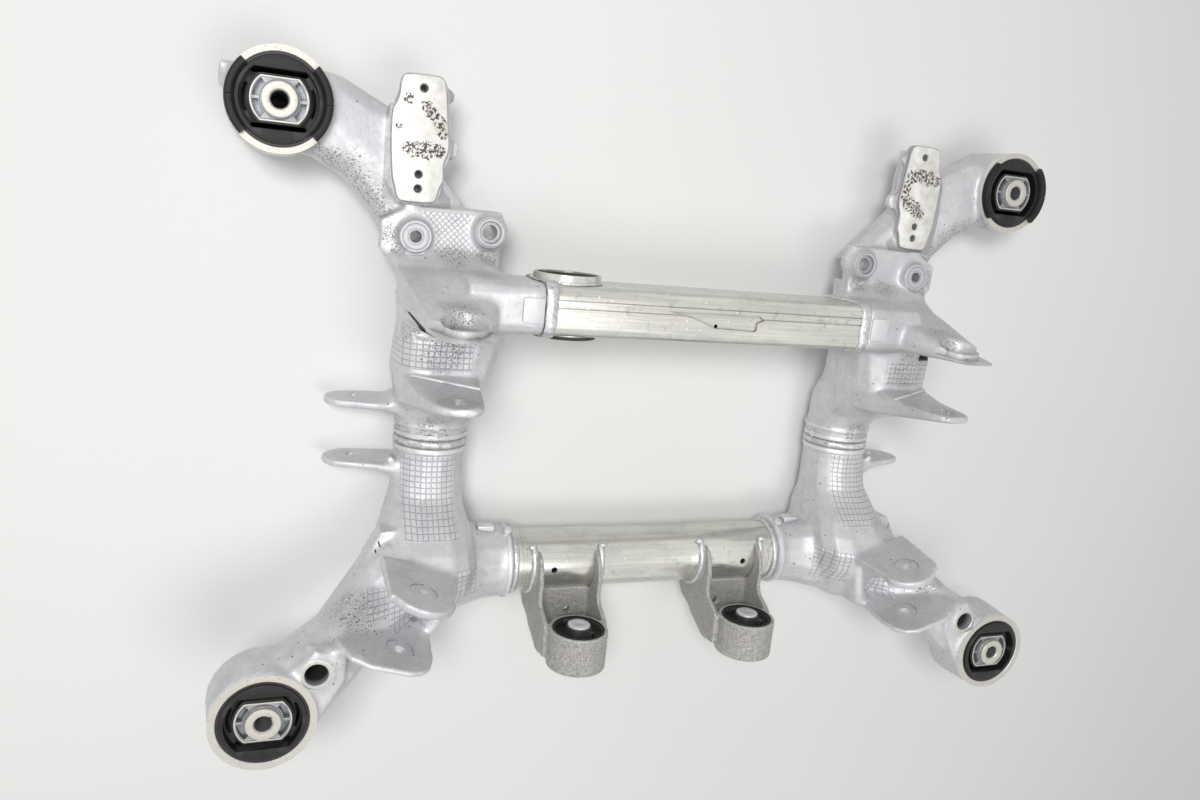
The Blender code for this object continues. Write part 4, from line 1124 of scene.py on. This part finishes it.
def mount(name, centre, eye_span, core_span, ears):
    """One large mount: its sleeve, its rubber with a recess and slots, and its core."""
    cx, cy = centre
    origin = Vector((cx, cy, 0))
    face = eye_span[1] - 1
    low = eye_span[0] + 2
    shell = MOUNT_BORE_R - 0.3
    inner = shell - SLEEVE_WALL
    profile = ((shell, face - 0.4), (shell - 0.4, face), (inner, face), (inner, low), (shell, low))
    sleeve = to_object(f"{name}_shell", turned(profile, origin, Z, 96))
    dress(sleeve, ("steel",), "sleeve_steel", f"{name}_sleeve")

    top = face + 2.5
    outer = inner - 0.3
    bottom, up = core_span
    crown = up - 6
    profile = ((0, low - 5), (outer, low - 5), (outer, top - 1.2), (outer - 0.4, top - 0.4))
    profile += ((outer - 1.3, top), (0, top))
    rubber = to_object(f"{name}_cushion", turned(profile, origin, Z, 96))
    cut(rubber, block(chord_disc(40.5, 31), top - 13, top + 5, origin))
    for sign in (1, -1):
        slot = ((-27, 25.4), (27, 25.4), (29, 28), (26, 31), (-26, 31), (-29, 28))
        slot = [(a, sign * b) for a, b in slot]
        cut(rubber, block(slot[::sign], low + 8, top + 5, origin))
        groove = arc((0, 0), 38, -24, 24, 12) + arc((0, 0), 34.5, 24, -24, 12)
        groove = [(sign * a, b) for a, b in groove]
        cut(rubber, block(groove[::sign], top - 30, top + 5, origin))
    collar = chord_disc(CORE_X + 2.2, CORE_Y + 2.2)
    cut(rubber, block(collar, top - 14, crown - 1.4, origin), "UNION")
    cut(rubber, block(chord_disc(CORE_X + 0.1, CORE_Y + 0.1), low - 12, top + 12, origin))
    soften(rubber, 0.7, 40)
    shade(rubber, 30)
    if ears:
        for turn in (0, 180):
            first = math.radians(turn - 45)
            side = Vector((math.cos(first), math.sin(first), 0))
            floor, high = REAR_EAR_Z
            section = ((44.6, floor), (55, floor), (55.2, floor + 1), (54, high - 1.4))
            section += ((52.6, high), (48, high), (46.6, high - 1.2), (44.6, floor + 2))
            lug = turned(section, origin, Z, 36, 90, side)
            part = to_object(f"{name}_lug_{turn}", lug)
            split = ((43, -0.35), (60, -0.35), (60, 0.35), (43, 0.35))
            split = [(a if turn == 0 else -a, b if turn == 0 else -b) for a, b in split]
            cut(part, block(split, high - 3, high + 3, origin))
            soften(part, 0.5, 30)
            shade(part, 35)
            dress(part, ("rubber",), "rubber_black")
    dress(rubber, ("rubber",), "rubber_black", f"{name}_rubber")

    core = to_object(f"{name}_middle", block(chord_disc(CORE_X, CORE_Y), low - 4, crown, origin))
    cut(core, block(chord_disc(CORE_X - 1.6, CORE_Y - 1.6), crown - 1.2, crown + 4, origin))
    for sign_x, sign_y in ((1, 1), (-1, 1), (-1, -1), (1, -1)):
        pocket = arc((0, 0), 21.2, 4.5, 46, 8) + arc((0, 0), 27.4, 47, 3.5, 8)
        pocket = [(sign_x * a, sign_y * b) for a, b in pocket]
        cut(core, block(pocket[:: sign_x * sign_y], crown - 10, crown + 4, origin))
    profile = ((0, crown - 12), (20, crown - 12), (20, crown + 0.4), (19.4, crown + 1))
    profile += ((0, crown + 1),)
    cut(core, turned(profile, origin, Z, 64), "UNION")
    wide = CORE_SLEEVE_R
    profile = ((0, bottom), (wide - 1, bottom), (wide, bottom + 1), (wide, up - 0.8))
    profile += ((wide - 0.8, up), (0, up))
    cut(core, turned(profile, origin, Z, 64), "UNION")
    hole = CORE_HOLE_R
    profile = ((0, bottom - 5), (hole, bottom - 5), (hole, up - 2.2), (hole + 1.6, up))
    profile += ((hole + 1.6, up + 5), (0, up + 5))
    cut(core, turned(profile, origin, Z, 64))
    if not ears:
        key = Vector((-math.copysign(1, cx), 1, 0)).normalized()
        slot = ((hole - 1, -1.7), (hole + 2.6, -1.7), (hole + 2.6, 1.7), (hole - 1, 1.7))
        cut(core, block(slot, up - 14, up + 3, origin, key, Z.cross(key)))
    soften(core, 0.35, 40)

    # The turned ring and its cone are bright.
    for part in core.data.polygons:
        spot = part.center
        reach = math.hypot(spot.x / MM - cx, spot.y / MM + MIDDLE_Y - cy)
        if reach < 18.8 and spot.z / MM - GROUND > up - 6.5:
            part.material_index = 1
    shade(core, 30)
    dress(core, ("core", "machined"), "core_aluminium", f"{name}_core")


def mounts():
    for name, place, eye_span, core_span, ears in (
        ("rear_mount", REAR_MOUNT, REAR_EYE_Z, REAR_CORE_Z, True),
        ("front_mount", FRONT_MOUNT, FRONT_EYE_Z, FRONT_CORE_Z, False),
    ):
        for side, end in SIDES:
            mount(f"{name}_{end}", (side * place[0], place[1]), eye_span, core_span, ears)


def bushes():
    tall = BUSH_LENGTH
    shell = ((BUSH_R + 1.5, tall + 0.2), (BUSH_R + 1.2, tall + 0.5), (BUSH_R + 0.3, tall + 0.5))
    shell += ((BUSH_R + 0.3, 0.5), (BUSH_R + 1.5, 0.5))
    rubber = ((BUSH_R, tall - 1), (BUSH_R, 2), (25, 5), (17.3, 2), (17.3, tall - 2.8))
    rubber += ((14.8, tall - 1.8), (14.8, tall + 3.4), (15.6, tall + 3.8), (17.4, tall + 1))
    rubber += ((19.5, tall - 2.5), (23, tall - 5.5), (27, tall - 5.5), (30.4, tall - 1.4))
    metal = ((0, tall + 5.3), (3, tall + 5.3), (4, tall + 5.9), (13, tall + 5.9))
    metal += ((14.2, tall + 5.2), (14.5, tall + 4), (14.5, tall - 1.5), (17, tall - 2.5))
    metal += ((17, 0), (15.5, -1.5), (6.3, -1.5), (6.3, tall - 12), (0, tall - 9))
    for side, end in SIDES:
        base = (side * BUSH.x, BUSH.y - tall, BUSH.z)
        piece = to_object(f"bush_shell_{end}", turned(shell, base, Y, 72))
        dress(piece, ("steel",), "sleeve_steel", f"bush_sleeve_{end}")
        piece = to_object(f"bush_cushion_{end}", turned(rubber, base, Y, 72))
        for turn in (20, 200):
            tab = arc((0, 0), 24.5, turn, turn + 16, 4) + arc((0, 0), 15.5, turn + 16, turn, 4)
            foot = Vector((side * BUSH.x, BUSH.y, BUSH.z))
            cut(piece, block(tab, -8, 2.2, foot, Z, X), "UNION")
        shade(piece, 50)
        dress(piece, ("rubber",), "rubber_black", f"bush_rubber_{end}")
        piece = to_object(f"bush_middle_{end}", turned(metal, base, Y, 72))
        dress(piece, ("cast",), "core_aluminium", f"bush_core_{end}")


# ---------------------------------------------------------------- stage

# Name, size, watts, place and aim of each lamp, in metres.
LAMPS = (
    ("key_softbox", (0.65, 0.65), 39, (-1.1, 0.75, 2.6), (-0.1, 0, 0.1)),
    ("front_softbox", (1.3, 1.0), 15, (0.1, -0.6, 2.8), (0, 0, 0.1)),
)
CAMERA_PLACE = (-0.51705, 0.25493, 1.18525)
CAMERA_TURN = (-14.0855, -19.8936, 6.0318)
CAMERA_LENS = 27.525
WORLD_LIGHT = 0.33
WORLD_SEEN = 1.0


def stage():
    floor = bmesh.new()
    bmesh.ops.create_grid(floor, x_segments=2, y_segments=2, size=6.0)
    bmesh.ops.translate(floor, verts=floor.verts, vec=(0, 0, -0.0003))
    ground = to_object("studio_floor", floor)
    ground.data.materials.append(finish("floor"))

    scene = bpy.context.scene
    scene.world = bpy.data.worlds.new("studio")
    scene.world.use_nodes = True
    tree = scene.world.node_tree
    background = tree.nodes["Background"].inputs
    background["Color"].default_value = linear("FFFFFF")
    rays = add_node(tree, "LightPath").node.outputs
    seen = rays["Is Camera Ray"]
    for kind in ("Is Transmission Ray", "Is Glossy Ray"):
        seen = add_node(tree, "Math", seen, rays[kind], operation="MAXIMUM")
    strength = add_node(tree, "MapRange", seen, None, None, WORLD_LIGHT, WORLD_SEEN)
    tree.links.new(strength, background["Strength"])

    for name, size, watts, place, aim in LAMPS:
        data = bpy.data.lights.new(name, "AREA")
        data.shape = "RECTANGLE"
        data.size, data.size_y = size
        data.energy = watts
        lamp = bpy.data.objects.new(name, data)
        lamp.location = place
        lamp.rotation_euler = (Vector(aim) - Vector(place)).to_track_quat("-Z", "Y").to_euler()
        scene.collection.objects.link(lamp)

    data = bpy.data.cameras.new("camera")
    data.lens = CAMERA_LENS
    data.sensor_width = 36.0
    data.clip_start = 0.05
    camera = bpy.data.objects.new("camera", data)
    camera.location = CAMERA_PLACE
    camera.rotation_euler = [math.radians(turn) for turn in CAMERA_TURN]
    scene.collection.objects.link(camera)
    scene.camera = camera
    scene.view_settings.view_transform = "Standard"


# ---------------------------------------------------------------- add-on

def size_setting(label, length, description):
    """A length, given in millimetres and kept in metres."""
    return bpy.props.FloatProperty(
        name=label,
        description=description,
        subtype="DISTANCE",
        unit="LENGTH",
        min=0.5 * MM,
        precision=4,
        default=length * MM,
    )


def colour_setting(label, hex_colour, description):
    """A colour, given in sRGB."""
    return bpy.props.FloatVectorProperty(
        name=label,
        description=description,
        subtype="COLOR",
        size=4,
        min=0.0,
        max=1.0,
        default=linear(hex_colour),
    )


class SubframeSettings(bpy.types.PropertyGroup):
    """Sizes of the patterns and base colours of the finishes."""

    waffle_pitch: size_setting("Waffle pitch", 6.6, "Pitch of the moulded nets")
    net_pitch: size_setting("Net pitch", 5.0, "Pitch of the net that stands on its point")
    weld_pitch: size_setting("Weld ripples", 3.4, "Pitch of the ripples of a weld bead")
    box_weld_pitch: size_setting("Box weld ripples", 17.0, "Pitch on the box tube's beads")
    cast_light: colour_setting("Cast, light", "E0E0E2", "Lighter tone of the castings")
    cast_dark: colour_setting("Cast, dark", "C4C4C8", "Darker tone of the castings")
    machined: colour_setting("Machined", "D0CDC4", "Machined faces of the castings")
    tube: colour_setting("Tubes", "ECEBE3", "Both cross tubes and the collar")
    weld: colour_setting("Welds", "DFDFE0", "Weld beads")
    bracket: colour_setting("Brackets", "A3A19C", "Differential brackets")
    rubber: colour_setting("Rubber", "101010", "Mounts and bushes")
    steel: colour_setting("Sleeves", "3A393A", "Steel sleeves of mounts and bushes")
    core: colour_setting("Cores", "909093", "Cores of the large mounts")
    floor: colour_setting("Floor", "F6F6F4", "Studio floor")


class SUBFRAME_OT_rear_castings(bpy.types.Operator):
    """Make both rear corner castings"""

    bl_idname = "subframe.rear_castings"
    bl_label = "Rear corner castings"

    def execute(self, context):
        rear_castings()
        return {"FINISHED"}


class SUBFRAME_OT_front_castings(bpy.types.Operator):
    """Make both front corner castings"""

    bl_idname = "subframe.front_castings"
    bl_label = "Front corner castings"

    def execute(self, context):
        front_castings()
        return {"FINISHED"}


class SUBFRAME_OT_brackets(bpy.types.Operator):
    """Make both differential brackets"""

    bl_idname = "subframe.brackets"
    bl_label = "Differential brackets"

    def execute(self, context):
        brackets()
        return {"FINISHED"}


class SUBFRAME_OT_tubes(bpy.types.Operator):
    """Make the box tube, its collar and the round tube"""

    bl_idname = "subframe.tubes"
    bl_label = "Cross tubes"

    def execute(self, context):
        box_tube()
        round_tube()
        return {"FINISHED"}


class SUBFRAME_OT_beads(bpy.types.Operator):
    """Make the weld beads"""

    bl_idname = "subframe.beads"
    bl_label = "Weld beads"

    def execute(self, context):
        beads()
        return {"FINISHED"}


class SUBFRAME_OT_mounts(bpy.types.Operator):
    """Make the four large rubber mounts"""

    bl_idname = "subframe.mounts"
    bl_label = "Rubber mounts"

    def execute(self, context):
        mounts()
        return {"FINISHED"}


class SUBFRAME_OT_bushes(bpy.types.Operator):
    """Make the two differential bushes"""

    bl_idname = "subframe.bushes"
    bl_label = "Differential bushes"

    def execute(self, context):
        bushes()
        return {"FINISHED"}


class SUBFRAME_OT_stage(bpy.types.Operator):
    """Make the floor, the lights and the camera"""

    bl_idname = "subframe.stage"
    bl_label = "Stage"

    def execute(self, context):
        stage()
        return {"FINISHED"}


STEPS = (
    SUBFRAME_OT_rear_castings,
    SUBFRAME_OT_front_castings,
    SUBFRAME_OT_brackets,
    SUBFRAME_OT_tubes,
    SUBFRAME_OT_beads,
    SUBFRAME_OT_mounts,
    SUBFRAME_OT_bushes,
    SUBFRAME_OT_stage,
)


class SUBFRAME_PT_panel(bpy.types.Panel):
    """Settings and building steps of the subframe"""

    bl_idname = "SUBFRAME_PT_panel"
    bl_label = "Rear axle subframe"
    bl_space_type = "VIEW_3D"
    bl_region_type = "UI"
    bl_category = "Subframe"

    def draw(self, context):
        for name in SubframeSettings.__annotations__:
            self.layout.prop(context.scene.subframe_settings, name)
        for step in STEPS:
            self.layout.operator(step.bl_idname)


CLASSES = (SubframeSettings, *STEPS, SUBFRAME_PT_panel)


def register():
    for made in CLASSES:
        bpy.utils.register_class(made)
    bpy.types.Scene.subframe_settings = bpy.props.PointerProperty(type=SubframeSettings)


def unregister():
    del bpy.types.Scene.subframe_settings
    for made in reversed(CLASSES):
        bpy.utils.unregister_class(made)


def main():
    register()
    bpy.ops.subframe.rear_castings()
    bpy.ops.subframe.front_castings()
    bpy.ops.subframe.brackets()
    bpy.ops.subframe.tubes()
    bpy.ops.subframe.beads()
    bpy.ops.subframe.mounts()
    bpy.ops.subframe.bushes()
    bpy.ops.subframe.stage()


if __name__ == "__main__":
    main()
